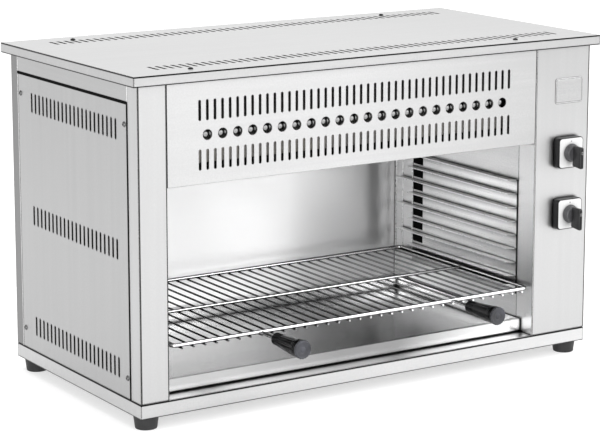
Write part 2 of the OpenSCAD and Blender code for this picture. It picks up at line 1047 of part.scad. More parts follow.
// Knobs: a round hub with a grip that is long below the axis and short above it
module knob(z) {
    grip_up = 10;
    grip_down = 25;
    skirt_rear = -bezel_t - knob_gap;
    hub_front = skirt_rear - skirt_t - hub_t;
    color(black)
        placed()
            difference() {
                union() {
                    rod_y(switch_x, skirt_rear - skirt_t, skirt_rear, z, hub_d + 3);
                    rod_y(switch_x, hub_front, skirt_rear - skirt_t, z, hub_d);
                    translate([switch_x - knob_grip_t / 2, 0, z])
                        facing_side(0, knob_grip_t)
                            translate([(knob_front + hub_front) / 2, (grip_up - grip_down) / 2])
                                rounded(hub_front - knob_front, grip_up + grip_down, 2);
                }
                rod_y(switch_x, spindle_front - 0.3, skirt_rear + 1, z, spindle_d + 0.1);
            }
}

module upper_knob() {
    knob(upper_z);
}

module lower_knob() {
    knob(lower_z);
}

module spindle(z) {
    color(steel)
        placed()
            rod_y(switch_x, spindle_front, spindle_rear, z, spindle_d);
}

module upper_spindle() {
    spindle(upper_z);
}

module lower_spindle() {
    spindle(lower_z);
}

module switch_screws() {
    color(steel)
        placed()
            for (z = [upper_z, lower_z])
                switch_screw_places(z) {
                    rod_y(0, -bezel_t / 2 - 2.5, -bezel_t / 2, 0, screw_head_d - 0.5);
                    rod_y(0, -bezel_t / 2 - 1, sheet + 10, 0, screw_d);
                }
}

// Wiring: a terminal block on the deck and a sleeved loom to the elements and switches
module terminal_block() {
    ways = 5;
    color("#e8e4da")
        placed()
            translate([loom_x, terminal_y, deck_z])
                difference() {
                    translate([-block_size.x / 2, -block_size.y / 2, 0])
                        cube(block_size);
                    for (i = [0:ways - 1])
                        translate([(i - (ways - 1) / 2) * 10, 0, 0])
                            rod_y(0, -block_size.y, block_size.y, 10, 5);
                }
}

module wiring_loom() {
    color("#8c3b2e")
        placed() {
            rod_x(terminal_xs[0], loom_x, terminal_y, loom_z, loom_d);
            translate([loom_x, terminal_y, loom_z])
                sphere(d = loom_d);
            rod_z(loom_x, terminal_y, deck_z + block_size.z + loom_gap, loom_z, loom_d);
            for (z = [upper_z, lower_z])
                rod_y(loom_x, sheet + switch_depth + loom_gap, terminal_y, z, loom_d - 2);
        }
}

// Connections on the rear panel
stud_x = gland_x + 5;
stud_z = deck_z + 15;

module cable_gland() {
    hex_t = 7;
    color(black)
        placed()
            translate([gland_x, 0, deck_z + gland_h])
                difference() {
                    union() {
                        rod_y(0, body_d - sheet - 9, body_d + 1, 0, gland_d);
                        facing_front(body_d, hex_t)
                            hexagon(gland_d + 6);
                        rod_y(0, body_d + hex_t - 1, body_d + gland_out, 0, gland_d + 2);
                    }
                    rod_y(0, body_d - 20, body_d + gland_out + 1, 0, gland_bore_d);
                }
}

module gland_nut() {
    color(black)
        placed()
            translate([gland_x, 0, deck_z + gland_h])
                facing_front(body_d - sheet - 5, 5)
                    difference() {
                        hexagon(gland_d + 6);
                        circle(d = gland_d + 0.2);
                    }
}

module earth_stud() {
    head_t = 4;
    color(steel)
        placed()
            translate([stud_x, 0, stud_z]) {
                facing_front(body_d - sheet - head_t, head_t)
                    hexagon(stud_d + 4);
                rod_y(0, body_d - sheet - 1, body_d + stud_out, 0, stud_d);
            }
}

module earth_nut() {
    color("#b9a26a")
        placed()
            translate([stud_x, 0, stud_z])
                facing_front(body_d, 5)
                    difference() {
                        hexagon(stud_d + 4);
                        circle(d = stud_d + 0.2);
                    }
}

// A blank plate near the top of the control column
module badge_plate() {
    color(bright_steel)
        placed()
            translate([switch_x + 4, 0, body_top - badge_drop])
                facing_front(-0.8, 0.8)
                    rounded(54, 40, 4);
}

// Grid: a bent frame and a crossbar over a row of thin wires
module wire_grid() {
    $fn = 16;
    half = grid_half - bar_d / 2;
    bend = 1.5 * bar_d;
    color(bright_steel)
        placed() {
            for (y = [grid_front, grid_rear])
                rod_x(mid_x - half + bend, mid_x + half - bend, y, grid_z, bar_d);
            for (s = [-1, 1])
                rod_y(mid_x + s * half, grid_front + bend, grid_rear - bend, grid_z, bar_d);
            for (i = [0:3])
                translate([mid_x + (i == 0 || i == 3 ? 1 : -1) * (half - bend),
                           i < 2 ? grid_rear - bend : grid_front + bend, grid_z])
                    rotate([0, 0, 90 * i])
                        rotate_extrude(angle = 90)
                            translate([bend, 0])
                                circle(d = bar_d);
            rod_x(mid_x - half, mid_x + half, cross_y, grid_z - (bar_d - cross_d) / 2, cross_d);
            for (i = [-wires_each_side:wires_each_side])
                rod_y(mid_x + i * wire_pitch, grid_front - bar_d / 2 - wire_over,
                      grid_rear + bar_d / 2 + wire_over, wire_z, wire_d);
        }
}

// Two wires from the grid's front bar into each grip, fitted round the bar
module handle_wires(s) {
    color(bright_steel)
        placed()
            difference() {
                for (o = [-1, 1])
                    rod_y(mid_x + s * handle_dx + o * handle_wire_gap / 2, handle_wire_end, grid_front, grid_z,
                          handle_wire_d);
                rod_x(mid_x - grid_half, mid_x + grid_half, grid_front, grid_z, bar_d + 2 * run_gap);
            }
}

module left_handle_wires() {
    handle_wires(-1);
}

module right_handle_wires() {
    handle_wires(1);
}

module grip(s) {
    color(black)
        placed()
            difference() {
                translate([mid_x + s * handle_dx, grip_start, grid_z])
                    rotate([90, 0, 0])
                        cylinder(d1 = grip_rear_d, d2 = grip_front_d, h = grip_l);
                for (o = [-1, 1])
                    rod_y(mid_x + s * handle_dx + o * handle_wire_gap / 2, handle_wire_end - 0.3, grip_start + 1,
                          grid_z, handle_wire_d + 0.1);
            }
}

module left_grip() {
    grip(-1);
}

module right_grip() {
    grip(1);
}

module grip_caps() {
    color("#4a4c55")
        placed()
            for (s = [-1, 1])
                translate([mid_x + s * handle_dx, grip_start - grip_l, grid_z])
                    rotate([90, 0, 0])
                        cylinder(d1 = grip_front_d + 1, d2 = grip_front_d - 3, h = grip_cap_t);
}

// Crumb tray: a pan on the deck, with a lip folded down in front of it as a finger pull
module crumb_tray() {
    side_gap = 1.75;
    lip_gap = 2.4;
    z0 = deck_z + slide_gap;
    y0 = tray_front + 5;
    w = chamber_w - 2 * side_gap;
    color(bright_steel)
        placed() {
            difference() {
                box([mid_x - w / 2, y0, z0], [w, tray_rear - y0, tray_h]);
                box([mid_x - w / 2 + sheet, y0 + sheet, z0 + sheet],
                    [w - 2 * sheet, tray_rear - y0 - 2 * sheet, tray_h]);
            }
            box([mid_x - w / 2, tray_front, z0 + tray_h - sheet], [w, y0 - tray_front, sheet]);
            box([mid_x - w / 2, tray_front, z0 + lip_gap], [w, sheet, tray_h - lip_gap]);
        }
}

base_pan();
deck();
foot_front_left();
foot_front_right();
foot_rear_left();
foot_rear_right();
foot_screws();
foot_nuts();
left_column();
control_column();
left_top_rail();
right_top_rail();
rear_panel();
left_side_panel();
right_side_panel();
side_panel_screws();
top_cap();
cap_screws();
vent_fascia();
left_chamber_wall();
right_chamber_wall();
chamber_back();
left_insulation();
right_insulation();
rear_insulation();
reflector();
reflector_skirt();
insulation_blanket();
left_rack();
right_rack();
left_element();
right_element();
element_hangers();
element_nuts();
element_beads();
upper_switch();
lower_switch();
upper_bezel();
lower_bezel();
upper_plate();
lower_plate();
upper_knob();
lower_knob();
upper_spindle();
lower_spindle();
switch_screws();
terminal_block();
wiring_loom();
cable_gland();
gland_nut();
earth_stud();
earth_nut();
badge_plate();
wire_grid();
left_handle_wires();
right_handle_wires();
left_grip();
right_grip();
grip_caps();
crumb_tray();
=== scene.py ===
import math

import bpy
import numpy as np
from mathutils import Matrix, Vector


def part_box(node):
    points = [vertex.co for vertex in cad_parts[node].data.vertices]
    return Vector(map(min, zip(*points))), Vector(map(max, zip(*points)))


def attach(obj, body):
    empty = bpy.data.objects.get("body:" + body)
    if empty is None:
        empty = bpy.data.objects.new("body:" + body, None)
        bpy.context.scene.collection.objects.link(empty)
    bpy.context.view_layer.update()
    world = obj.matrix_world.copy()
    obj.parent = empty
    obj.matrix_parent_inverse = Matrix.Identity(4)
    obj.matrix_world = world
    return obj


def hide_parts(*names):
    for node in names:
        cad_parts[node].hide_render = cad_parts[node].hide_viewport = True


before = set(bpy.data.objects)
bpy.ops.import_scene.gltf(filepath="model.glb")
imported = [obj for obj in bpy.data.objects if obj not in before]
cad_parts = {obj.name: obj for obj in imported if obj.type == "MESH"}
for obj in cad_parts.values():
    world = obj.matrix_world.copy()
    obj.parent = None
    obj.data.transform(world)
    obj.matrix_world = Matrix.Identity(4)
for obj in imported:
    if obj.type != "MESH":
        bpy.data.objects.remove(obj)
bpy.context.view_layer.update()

# ---------------------------------------------------------------------------------------------
# The studio: a wide pale table that gives off some light of its own, soft lamps at the right, the
# left and above, and a bright room that dims to the left and the back, through a long lens.
camera_place = (-1.8385, -2.8241, 0.9642)
camera_turn, camera_dip = math.radians(32.53), math.radians(10.66)
lens_mm, film_mm = 134.2, 36.0
window_shift = (0.0005, -0.10)

lens = bpy.data.cameras.new("camera")
lens.lens, lens.sensor_width = lens_mm, film_mm
lens.shift_x, lens.shift_y = window_shift
lens.clip_start, lens.clip_end = 0.05, 200.0
camera = bpy.data.objects.new("camera", lens)
camera.location = camera_place
camera.rotation_euler = (math.pi / 2 - camera_dip, 0.0, -camera_turn)
bpy.context.scene.collection.objects.link(camera)
bpy.context.scene.camera = camera
bpy.context.scene.view_settings.view_transform = "Standard"


def soft_light(name, place, aim, size, watts):
    """A square lamp at place whose own -Z axis points from place to aim."""
    lamp = bpy.data.lights.new(name, "AREA")
    lamp.shape, lamp.size, lamp.energy = "SQUARE", size, watts
    holder = bpy.data.objects.new(name, lamp)
    x, y, z = np.subtract(aim, place)
    holder.location = place
    holder.rotation_euler = (math.atan2(math.hypot(x, y), -z), 0.0, math.atan2(y, x) - math.pi / 2)
    bpy.context.scene.collection.objects.link(holder)


soft_light("key_light", (2.6, -3.4, 3.0), (0.0, 0.0, 0.25), 3.0, 96.0)
soft_light("fill_light", (-2.6, -2.4, 0.9), (0.1, 0.0, 0.25), 1.6, 41.0)
soft_light("top_light", (0.2, 0.6, 4.0), (0.0, 0.0, 0.0), 3.0, 72.0)


def feed(tree, value, socket):
    """Gives a socket its value: another node's output, a number or a colour. On a colour's
    socket one number stands for the grey with that number in all three channels."""
    if isinstance(value, bpy.types.NodeSocket):
        tree.links.new(value, socket)
    elif socket.type == "RGBA":
        socket.default_value = (*np.broadcast_to(value, 3), 1.0)
    else:
        socket.default_value = value


def axes(tree, kind="Object"):
    """The x, y and z of a coordinate, as the outputs X, Y and Z."""
    place = tree.nodes.new("ShaderNodeTexCoord")
    parts = tree.nodes.new("ShaderNodeSeparateXYZ")
    tree.links.new(place.outputs[kind], parts.inputs["Vector"])
    return parts.outputs


def between(tree, value, low, high, start=0.3, stop=0.7):
    """The straight line from (start, low) to (stop, high), held at both ends."""
    line = tree.nodes.new("ShaderNodeMapRange")
    line.inputs["From Min"].default_value, line.inputs["From Max"].default_value = start, stop
    line.inputs["To Min"].default_value, line.inputs["To Max"].default_value = low, high
    tree.links.new(value, line.inputs["Value"])
    return line.outputs["Result"]


def reckon(tree, operation, *values):
    """The answer of one step of arithmetic on its values."""
    step = tree.nodes.new("ShaderNodeMath")
    step.operation = operation
    for value, socket in zip(values, step.inputs):
        feed(tree, value, socket)
    return step.outputs["Value"]


def blend(tree, amount, first, second, way="MIX"):
    """The colour first where amount is 0. Where it is 1, the colour second, or with the way
    MULTIPLY the two multiplied."""
    mix = tree.nodes.new("ShaderNodeMix")
    mix.data_type, mix.blend_type = "RGBA", way
    for value, socket in ((amount, "Factor"), (first, "A"), (second, "B")):
        feed(tree, value, mix.inputs[socket])
    return mix.outputs["Result"]


def new_finish(name):
    """A material and its node tree."""
    finish = bpy.data.materials.new(name)
    finish.use_nodes = True
    return finish, finish.node_tree


def socket_of(finish, name):
    """A socket of the finish's Principled shader."""
    return finish.node_tree.nodes["Principled BSDF"].inputs[name]


room = bpy.data.worlds.new("room")
bpy.context.scene.world = room
room.use_nodes = True
sky = room.node_tree
sky.nodes.clear()
look = axes(sky, "Generated")
by_height = sky.nodes.new("ShaderNodeValToRGB")
sky.links.new(look["Z"], by_height.inputs["Fac"])
ramp = by_height.color_ramp
ramp.elements[0].position, ramp.elements[0].color = 0.0, (1.0, 1.0, 1.0, 1)
ramp.elements[1].position, ramp.elements[1].color = 1.0, (0.95, 0.95, 0.95, 1)
for height, tone in ((0.36, 0.95), (0.6, 0.42), (0.85, 0.45)):
    ramp.elements.new(height).color = (tone, tone, tone, 1)
by_side = between(sky, look["X"], 0.72, 1.12, -0.9, 0.5)
by_depth = between(sky, look["Y"], 1.0, 0.62, -0.3, 0.8)
both = reckon(sky, "MULTIPLY", by_side, by_depth)
glow = sky.nodes.new("ShaderNodeBackground")
glow.inputs["Strength"].default_value = 2.1
feed(sky, blend(sky, 1.0, by_height.outputs["Color"], both, "MULTIPLY"), glow.inputs["Color"])
sky_out = sky.nodes.new("ShaderNodeOutputWorld")
sky.links.new(glow.outputs["Background"], sky_out.inputs["Surface"])

table_reach = 40.0
table_corners = [(x * table_reach, y * table_reach, 0.0)
                 for x, y in ((-1, -1), (1, -1), (1, 1), (-1, 1))]
table_mesh = bpy.data.meshes.new("table_top")
table_mesh.from_pydata(table_corners, [], [(0, 1, 2, 3)])
table_top = bpy.data.objects.new("table_top", table_mesh)
bpy.context.scene.collection.objects.link(table_top)
table_paint, table_tree = new_finish("table_paint")
for socket, value in (("Base Color", 0.50), ("Emission Color", 1.0), ("Emission Strength", 0.60),
                      ("Roughness", 0.9), ("Specular IOR Level", 0.1)):
    feed(table_tree, value, socket_of(table_paint, socket))
table_mesh.materials.append(table_paint)


# ---------------------------------------------------------------------------------------------
# Body sheets: base pan, deck, columns, rails, side panels, cap, vent panel and rear panel.
# They are 1.2 mm stainless steel, cut and folded, brushed along the strip before it was cut.
def noise(tree, stretch, detail):
    """A noise value over the object's own x, y and z, each multiplied by its stretch first."""
    place = tree.nodes.new("ShaderNodeTexCoord")
    spread = tree.nodes.new("ShaderNodeMapping")
    spread.inputs["Scale"].default_value = np.broadcast_to(stretch, 3)
    cloud = tree.nodes.new("ShaderNodeTexNoise")
    cloud.inputs["Scale"].default_value = 1.0
    cloud.inputs["Detail"].default_value = detail
    tree.links.new(place.outputs["Object"], spread.inputs["Vector"])
    tree.links.new(spread.outputs["Vector"], cloud.inputs["Vector"])
    return cloud.outputs["Fac"]


def folded_edge(tree, radius):
    """The normal of the surface with its edges rounded to radius."""
    fold = tree.nodes.new("ShaderNodeBevel")
    fold.samples = 6
    fold.inputs["Radius"].default_value = radius
    return fold.outputs["Normal"]


def coat(finish, colour, roughness, metal, height, depth, strength, fold=None):
    """Gives the finish its colour, roughness and share of metal, and tilts the surface by the
    slope of height times depth, after rounding the edges to fold where that is given."""
    tree = finish.node_tree
    for socket, value in (("Base Color", colour), ("Roughness", roughness), ("Metallic", metal)):
        feed(tree, value, socket_of(finish, socket))
    bump = tree.nodes.new("ShaderNodeBump")
    bump.inputs["Strength"].default_value = strength
    bump.inputs["Distance"].default_value = depth
    tree.links.new(height, bump.inputs["Height"])
    if fold:
        tree.links.new(folded_edge(tree, fold), bump.inputs["Normal"])
    tree.links.new(bump.outputs["Normal"], socket_of(finish, "Normal"))
    return finish


def shut_in(tree, reach, most, clear):
    """How shut in a point is, from the share of open space within reach: most where that share
    is 0.45 or less, falling in a straight line to 0 where it is clear."""
    space = tree.nodes.new("ShaderNodeAmbientOcclusion")
    space.samples = 8
    space.inputs["Distance"].default_value = reach
    return between(tree, space.outputs["AO"], most, 0.0, 0.45, clear)


def shaded_folds_and_creases(tree, shade, reach, shade_grey, crease):
    """The colour shade with painted shade laid on it: darker along folds and cut edges, where the rounded
    normal leaves the flat one, and in creases and gaps, where little open space is left within a few
    millimetres."""
    flat = tree.nodes.new("ShaderNodeNewGeometry")
    same = tree.nodes.new("ShaderNodeVectorMath")
    same.operation = "DOT_PRODUCT"
    tree.links.new(folded_edge(tree, reach), same.inputs[0])
    tree.links.new(flat.outputs["True Normal"], same.inputs[1])
    shade = blend(tree, between(tree, same.outputs["Value"], 1.0, 0.0, 0.86, 0.995), shade, shade_grey)
    return blend(tree, shut_in(tree, crease, 1.0, 0.85), shade, 0.35 * shade_grey)


def stainless(name, grain, tone, polish, line, contrast=1.0, crease=0.007):
    """Brushed sheet: fine scratches and broad streaks drawn out along the grain axis, a slow cloud and
    small specks over both, painted shade along its edges and in its creases, and roughness that goes up
    where the scratches are dense."""
    finish, tree = new_finish(name)
    fine, broad = [1500.0] * 3, [90.0] * 3
    along = "xyz".index(grain)
    fine[along], broad[along] = 16.0, 1.6
    scratches, streaks = noise(tree, fine, 2.0), noise(tree, broad, 3.0)
    cloud, specks = noise(tree, 6.0, 2.0), noise(tree, 420.0, 2.0)
    dark = tuple(tone * (1.0 - 0.07 * contrast) * c for c in (1.0, 1.0, 1.005))
    bright = min(1.0, tone * (1.0 + 0.07 * contrast))
    shade = blend(tree, between(tree, streaks, 0.0, 1.0, 0.25, 0.75), dark, bright)
    shade = blend(tree, between(tree, cloud, 0.0, 0.5), shade, bright)
    shade = blend(tree, between(tree, scratches, 0.4 * contrast, 0.0), shade, dark)
    shade = blend(tree, between(tree, specks, 0.7, 0.0, 0.35, 0.6), shade, dark)
    # painted shade: darker along the folds and cut edges and in the creases and gaps
    shade = shaded_folds_and_creases(tree, shade, line, 0.04 * tone, crease)
    worn = between(tree, scratches, polish - 0.03, polish + 0.04)
    return coat(finish, shade, worn, 1.0, scratches, 0.00002, 0.4, 0.0010)


def scaled(finish, amount, share):
    """Multiplies the finish's colour by one where amount is 0 and by the share where it is 1."""
    tree, colour = finish.node_tree, socket_of(finish, "Base Color")
    feed(tree, blend(tree, amount, colour.links[0].from_socket, share, "MULTIPLY"), colour)


def tinted(finish, axis, start, stop, share, also=None):
    """Multiplies the finish along an axis: by one at start, by the share at stop. With also,
    which is an axis, start and stop too, the change is multiplied by that one's progress."""
    tree = finish.node_tree
    place = axes(tree)
    amount = between(tree, place[axis], 0.0, 1.0, start, stop)
    if also:
        amount = reckon(tree, "MULTIPLY", amount, between(tree, place[also[0]], 0.0, 1.0, *also[1:]))
    scaled(finish, amount, share)


def lined(finish, axis, middle, half, share, fade=0.0004):
    """Darkens a thin band of the finish down to the share, where the distance along the axis
    from the middle is under half, and lets it fade out over the next bit."""
    tree = finish.node_tree
    away = reckon(tree, "ABSOLUTE", reckon(tree, "SUBTRACT", axes(tree)[axis], middle))
    scaled(finish, between(tree, away, 1.0, 0.0, half, half + fade), share)


def cut_dark(finish, axis, above=None):
    """Paints shade on a sheet's cut edges and slot walls, where the surface faces across the axis: its
    normal's part along the axis is under a half. With above, only where z is over that height."""
    tree = finish.node_tree
    facing = tree.nodes.new("ShaderNodeNewGeometry")
    parts = tree.nodes.new("ShaderNodeSeparateXYZ")
    tree.links.new(facing.outputs["True Normal"], parts.inputs["Vector"])
    amount = between(tree, reckon(tree, "ABSOLUTE", parts.outputs[axis]), 1.0, 0.0, 0.45, 0.55)
    if above is not None:
        over = between(tree, axes(tree)["Z"], 0.0, 1.0, above, above + 0.0002)
        amount = reckon(tree, "MULTIPLY", amount, over)
    scaled(finish, amount, 0.05)


def dress(finish, *names):
    """Puts a finish on every material slot of the named parts."""
    for name in names:
        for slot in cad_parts[name].material_slots:
            slot.material = finish


# Painted light and shade: one steel in several tones, lighter on the front, vent panel and base, darker
# on the cap, sides, rails and rear, as the light falls on them.
side_sheet = stainless("side_sheet", "z", 0.41, 0.34, 0.0030, 0.8)
rear_sheet = stainless("rear_sheet", "z", 0.34, 0.34, 0.0022, 0.8)
front_sheet = stainless("front_sheet", "z", 0.495, 0.34, 0.0030, 0.6)
control_sheet = stainless("control_sheet", "z", 0.500, 0.34, 0.0030, 0.6)
cap_sheet = stainless("cap_sheet", "x", 0.46, 0.34, 0.0030, 0.8)
base_sheet = stainless("base_sheet", "x", 0.62, 0.34, 0.0026, 1.0, 0.010)
deck_sheet = stainless("deck_sheet", "x", 0.56, 0.34, 0.0026, 1.0, 0.010)
vent_sheet = stainless("vent_sheet", "x", 0.525, 0.34, 0.0011)
deep_sheet = stainless("deep_sheet", "y", 0.42, 0.34, 0.0026)
base_low, base_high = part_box("base_pan")
cap_low, cap_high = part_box("top_cap")
opening_left, opening_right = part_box("left_column")[1].x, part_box("control_column")[0].x
side_x, cap_under = base_low.x, cap_high.z - 0.0013
# Painted shade: thin dark lines at the top and the foot of the base, at the top edge and the foot of the
# cap's lip, and beside the columns' folds, as shade in the gaps and at the bends.
lined(base_sheet, "Z", base_high.z - 0.0005, 0.0008, 0.05)
lined(base_sheet, "Z", base_low.z + 0.0005, 0.0005, 0.20)
lined(cap_sheet, "Z", cap_under, 0.0007, 0.10)
lined(cap_sheet, "Z", cap_low.z + 0.0006, 0.0007, 0.10)
lined(front_sheet, "X", side_x + 0.0014, 0.0008, 0.12)
lined(front_sheet, "X", opening_left - 0.0010, 0.0005, 0.12, 0.0003)
lined(control_sheet, "X", opening_right + 0.0017, 0.0004, 0.12, 0.0002)
lined(control_sheet, "X", -side_x - 0.0014, 0.0006, 0.25)
# Painted light and shade: the rear panel darker on its left face, the control column darker towards the
# top and much lighter on its inner return, the cap and the vent panel darker towards the right, the base
# darker towards the left.
tinted(rear_sheet, "X", side_x + 0.0016, side_x + 0.0008, 0.62)
tinted(control_sheet, "Z", 0.26, 0.48, 0.82)
tinted(control_sheet, "X", opening_right + 0.0012, opening_right + 0.0010, 1.96)
tinted(cap_sheet, "X", 0.0, 0.40, 0.90)
tinted(vent_sheet, "X", -0.05, 0.29, 0.84)
tinted(base_sheet, "X", 0.10, -0.30, 0.86)
# Painted shade on the cut edges and slot walls of the side panels and the cap.
cut_dark(side_sheet, "X")
cut_dark(cap_sheet, "Z", cap_under)
dress(side_sheet, "left_side_panel", "right_side_panel")
dress(rear_sheet, "rear_panel")
dress(front_sheet, "left_column")
dress(control_sheet, "control_column")
dress(cap_sheet, "top_cap")
dress(base_sheet, "base_pan")
dress(deck_sheet, "deck")
dress(vent_sheet, "vent_fascia")
dress(deep_sheet, "left_top_rail", "right_top_rail")


# ---------------------------------------------------------------------------------------------
# Feet: four tapered rubber feet under the base, flat below with a rounded edge and a recess for
# the screw that holds each one, and the zinc plated screws and nuts in them.
def grid_faces(points, loop=False):
    """Corners and faces of a grid of points: each cell is a four-sided face, and the last column
    joins the first. With loop the last row joins the first row too, and without it a fan from
    its middle closes each of the two."""
    rows, columns = points.shape[:2]
    index = np.arange(rows * columns).reshape(rows, columns)
    index = np.hstack([index, index[:, :1]])
    if loop:
        index = np.vstack([index, index[:1]])
    cells = np.stack([index[:-1, :-1], index[:-1, 1:], index[1:, 1:], index[1:, :-1]], -1)
    corners, fans = points.reshape(-1, 3), np.zeros((0, 3), int)
    for ring in () if loop else (index[0][::-1], index[-1]):
        fans = np.vstack([fans, np.stack([ring[:-1], ring[1:], np.full(columns, len(corners))], -1)])
        corners = np.vstack([corners, corners[ring[:-1]].mean(0)])
    return corners, cells.reshape(-1, 4), fans


def build(name, parts, finish, body, stands_for, crease):
    """One piece from closed parts. Each part is turned so that its faces point outwards, which
    is when the six-fold volume under its triangles, a dot (b cross c), adds up above zero."""
    corners, faces, count = [], [], 0
    for points, cells, fans in parts:
        triangles = np.vstack([cells[:, [0, 1, 2]], cells[:, [0, 2, 3]], fans])
        a, b, c = (points[triangles[:, k]] - points.mean(0) for k in range(3))
        if np.einsum("ij,ij->", a, np.cross(b, c)) < 0:
            cells, fans = cells[:, ::-1], fans[:, ::-1]
        faces += (cells + count).tolist() + (fans + count).tolist()
        corners.append(points)
        count += len(points)
    mesh = bpy.data.meshes.new(name)
    mesh.from_pydata(np.vstack(corners).tolist(), [], faces)
    mesh.validate()
    mesh.shade_smooth()
    mesh.set_sharp_from_angle(angle=math.radians(crease))
    mesh.materials.append(finish)
    piece = bpy.data.objects.new(name, mesh)
    bpy.context.scene.collection.objects.link(piece)
    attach(piece, body)
    if stands_for:
        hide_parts(*stands_for)


def soften(corners, radius, steps=4):
    """A line of points with each inner corner swapped for a quadratic curve that starts radius
    before the corner, leans towards it and ends radius after it."""
    line = np.asarray(corners, float)
    before, here, after = line[:-2], line[1:-1], line[2:]
    reach = np.broadcast_to(np.asarray(radius, float), (len(here),))[:, None]
    back, ahead = (here + way * np.minimum(reach / np.linalg.norm(way, axis=1, keepdims=True), 0.49)
                   for way in (before - here, after - here))
    t = np.linspace(0.0, 1.0, steps + 1)[None, :, None]
    curve = (1 - t) ** 2 * back[:, None] + 2 * t * (1 - t) * here[:, None] + t ** 2 * ahead[:, None]
    return np.vstack([line[:1], curve.reshape(-1, 2), line[-1:]])


def turned(profile, centre, along, count, flats=None, loop=False, flutes=None):
    """A profile of (radius, distance) pairs turned about the line that leaves centre in the
    direction along. Where flats is 1 the ring is a hexagon, where it is 0 a circle. Flutes is
    how many waves go round, and how deep they are in each row."""
    radius, reach = np.asarray(profile, float).T
    angle = np.linspace(0.0, 2 * math.pi, count, endpoint=False)
    along = np.asarray(along, float)
    first = np.cross(along, (0.0, 0.0, 1.0) if abs(along[2]) < 0.9 else (1.0, 0.0, 0.0))
    first /= np.linalg.norm(first)
    second = np.cross(along, first)
    ring = np.repeat(radius[:, None], count, 1)
    if flats is not None:
        six = 1.0 / np.cos(angle % (math.pi / 3) - math.pi / 6)
        ring = ring * (1.0 + np.asarray(flats, float)[:, None] * (six - 1.0))
    if flutes is not None:
        wave = 0.5 - 0.5 * np.cos(flutes[0] * angle)
        ring = ring - np.asarray(flutes[1], float)[:, None] * wave
    spokes = np.cos(angle)[:, None] * first + np.sin(angle)[:, None] * second
    points = np.asarray(centre, float) + reach[:, None, None] * along + ring[..., None] * spokes
    return grid_faces(points, loop)


def moulded(name, colour, polish, grain, depth, mottle, fold=None, shine=0.5):
    """Moulded stuff: a base colour mottled by two noises, a fine pebbled skin of the given
    grain per metre and depth, and roughness that follows the same pebbles."""
    finish, tree = new_finish(name)
    pebbles, patches = noise(tree, grain, 2.0), noise(tree, 70.0, 4.0)
    dark = tuple(c * (1.0 - mottle) for c in colour)
    light = tuple(min(1.0, c * (1.0 + mottle)) for c in colour)
    shade = blend(tree, between(tree, patches, 0.0, 1.0), dark, light)
    socket_of(finish, "Specular IOR Level").default_value = shine
    worn = between(tree, pebbles, polish - 0.06, polish + 0.08)
    return coat(finish, shade, worn, 0.0, pebbles, depth, 0.6, fold)


def plated(name, tone, polish, tint=(1.0, 1.0, 1.0)):
    """Plated or oiled metal: slow changes of tone and roughness and a faint ripple."""
    finish, tree = new_finish(name)
    haze, ripple = noise(tree, 300.0, 3.0), noise(tree, 900.0, 2.0)
    dark = tuple(tone * 0.8 * c for c in tint)
    light = tuple(min(1.0, tone * 1.1 * c) for c in tint)
    worn = between(tree, haze, polish - 0.06, polish + 0.1)
    return coat(finish, blend(tree, haze, dark, light), worn, 1.0, ripple, 0.00003, 0.5, 0.0003)


foot_rubber = moulded("foot_rubber_finish", (0.009, 0.009, 0.0095), 0.55, 2200.0, 0.00008, 0.35)
zinc = plated("zinc_finish", 0.62, 0.30)
foot_profile = soften(
    [(0.0034, 0.0100), (0.0065, 0.0100), (0.0065, 0.0004), (0.0072, 0.0), (0.0155, 0.0),
     (0.0162, 0.0012), (0.0167, 0.0060), (0.0184, 0.0186), (0.0184, 0.0200), (0.0034, 0.0200)],
    [0.0002, 0.0003, 0.0003, 0.0011, 0.0010, 0.0020, 0.0005, 0.0003])
for foot in ("foot_front_left", "foot_front_right", "foot_rear_left", "foot_rear_right"):
    low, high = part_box(foot)
    middle = ((low.x + high.x) / 2, (low.y + high.y) / 2, 0.0)
    build("moulded_" + foot, [turned(foot_profile, middle, (0, 0, 1), 64, loop=True)],
          foot_rubber, "machine", [foot], 35)
dress(zinc, "foot_screws", "foot_nuts")

# ---------------------------------------------------------------------------------------------
# Panel screws and cap screws: button heads with a hexagon socket. Steel ones hold the side
# panels and black oxidised ones hold the cap; each head sits flat on its sheet.
screw_black = plated("screw_black_finish", 0.02, 0.28)
screw_steel = plated("screw_steel_finish", 0.16, 0.10)
head_radius, head_height = 0.004, 0.0022
head_profile = [(0.0040, 0.0), (0.0040, 0.0004), (0.0037, 0.0010), (0.0031, 0.0016),
                (0.0024, 0.0020), (0.0018, 0.00215), (0.0014, 0.00215), (0.0012, 0.0020),
                (0.0012, 0.0009), (0.0002, 0.0007)]
head_flats = [0, 0, 0, 0, 0, 0, 0.6, 1, 1, 1]
low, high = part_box("cap_screws")
cap_heads = [turned(head_profile, (x, y, high.z - head_height), (0, 0, 1), 36, head_flats)
             for x in (low.x + head_radius, high.x - head_radius)
             for y in (low.y + head_radius, high.y - head_radius)]
build("cap_screw_heads", cap_heads, screw_black, "machine", ["cap_screws"], 50)
low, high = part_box("side_panel_screws")
side_heads = [turned(head_profile, (x, y, z), (way, 0, 0), 36, head_flats)
              for x, way in ((low.x + head_height, -1), (high.x - head_height, 1))
              for y in (low.y + head_radius, high.y - head_radius)
              for z in (low.z + head_radius, high.z - head_radius)]
build("side_screw_heads", side_heads, screw_steel, "machine", ["side_panel_screws"],
      50)


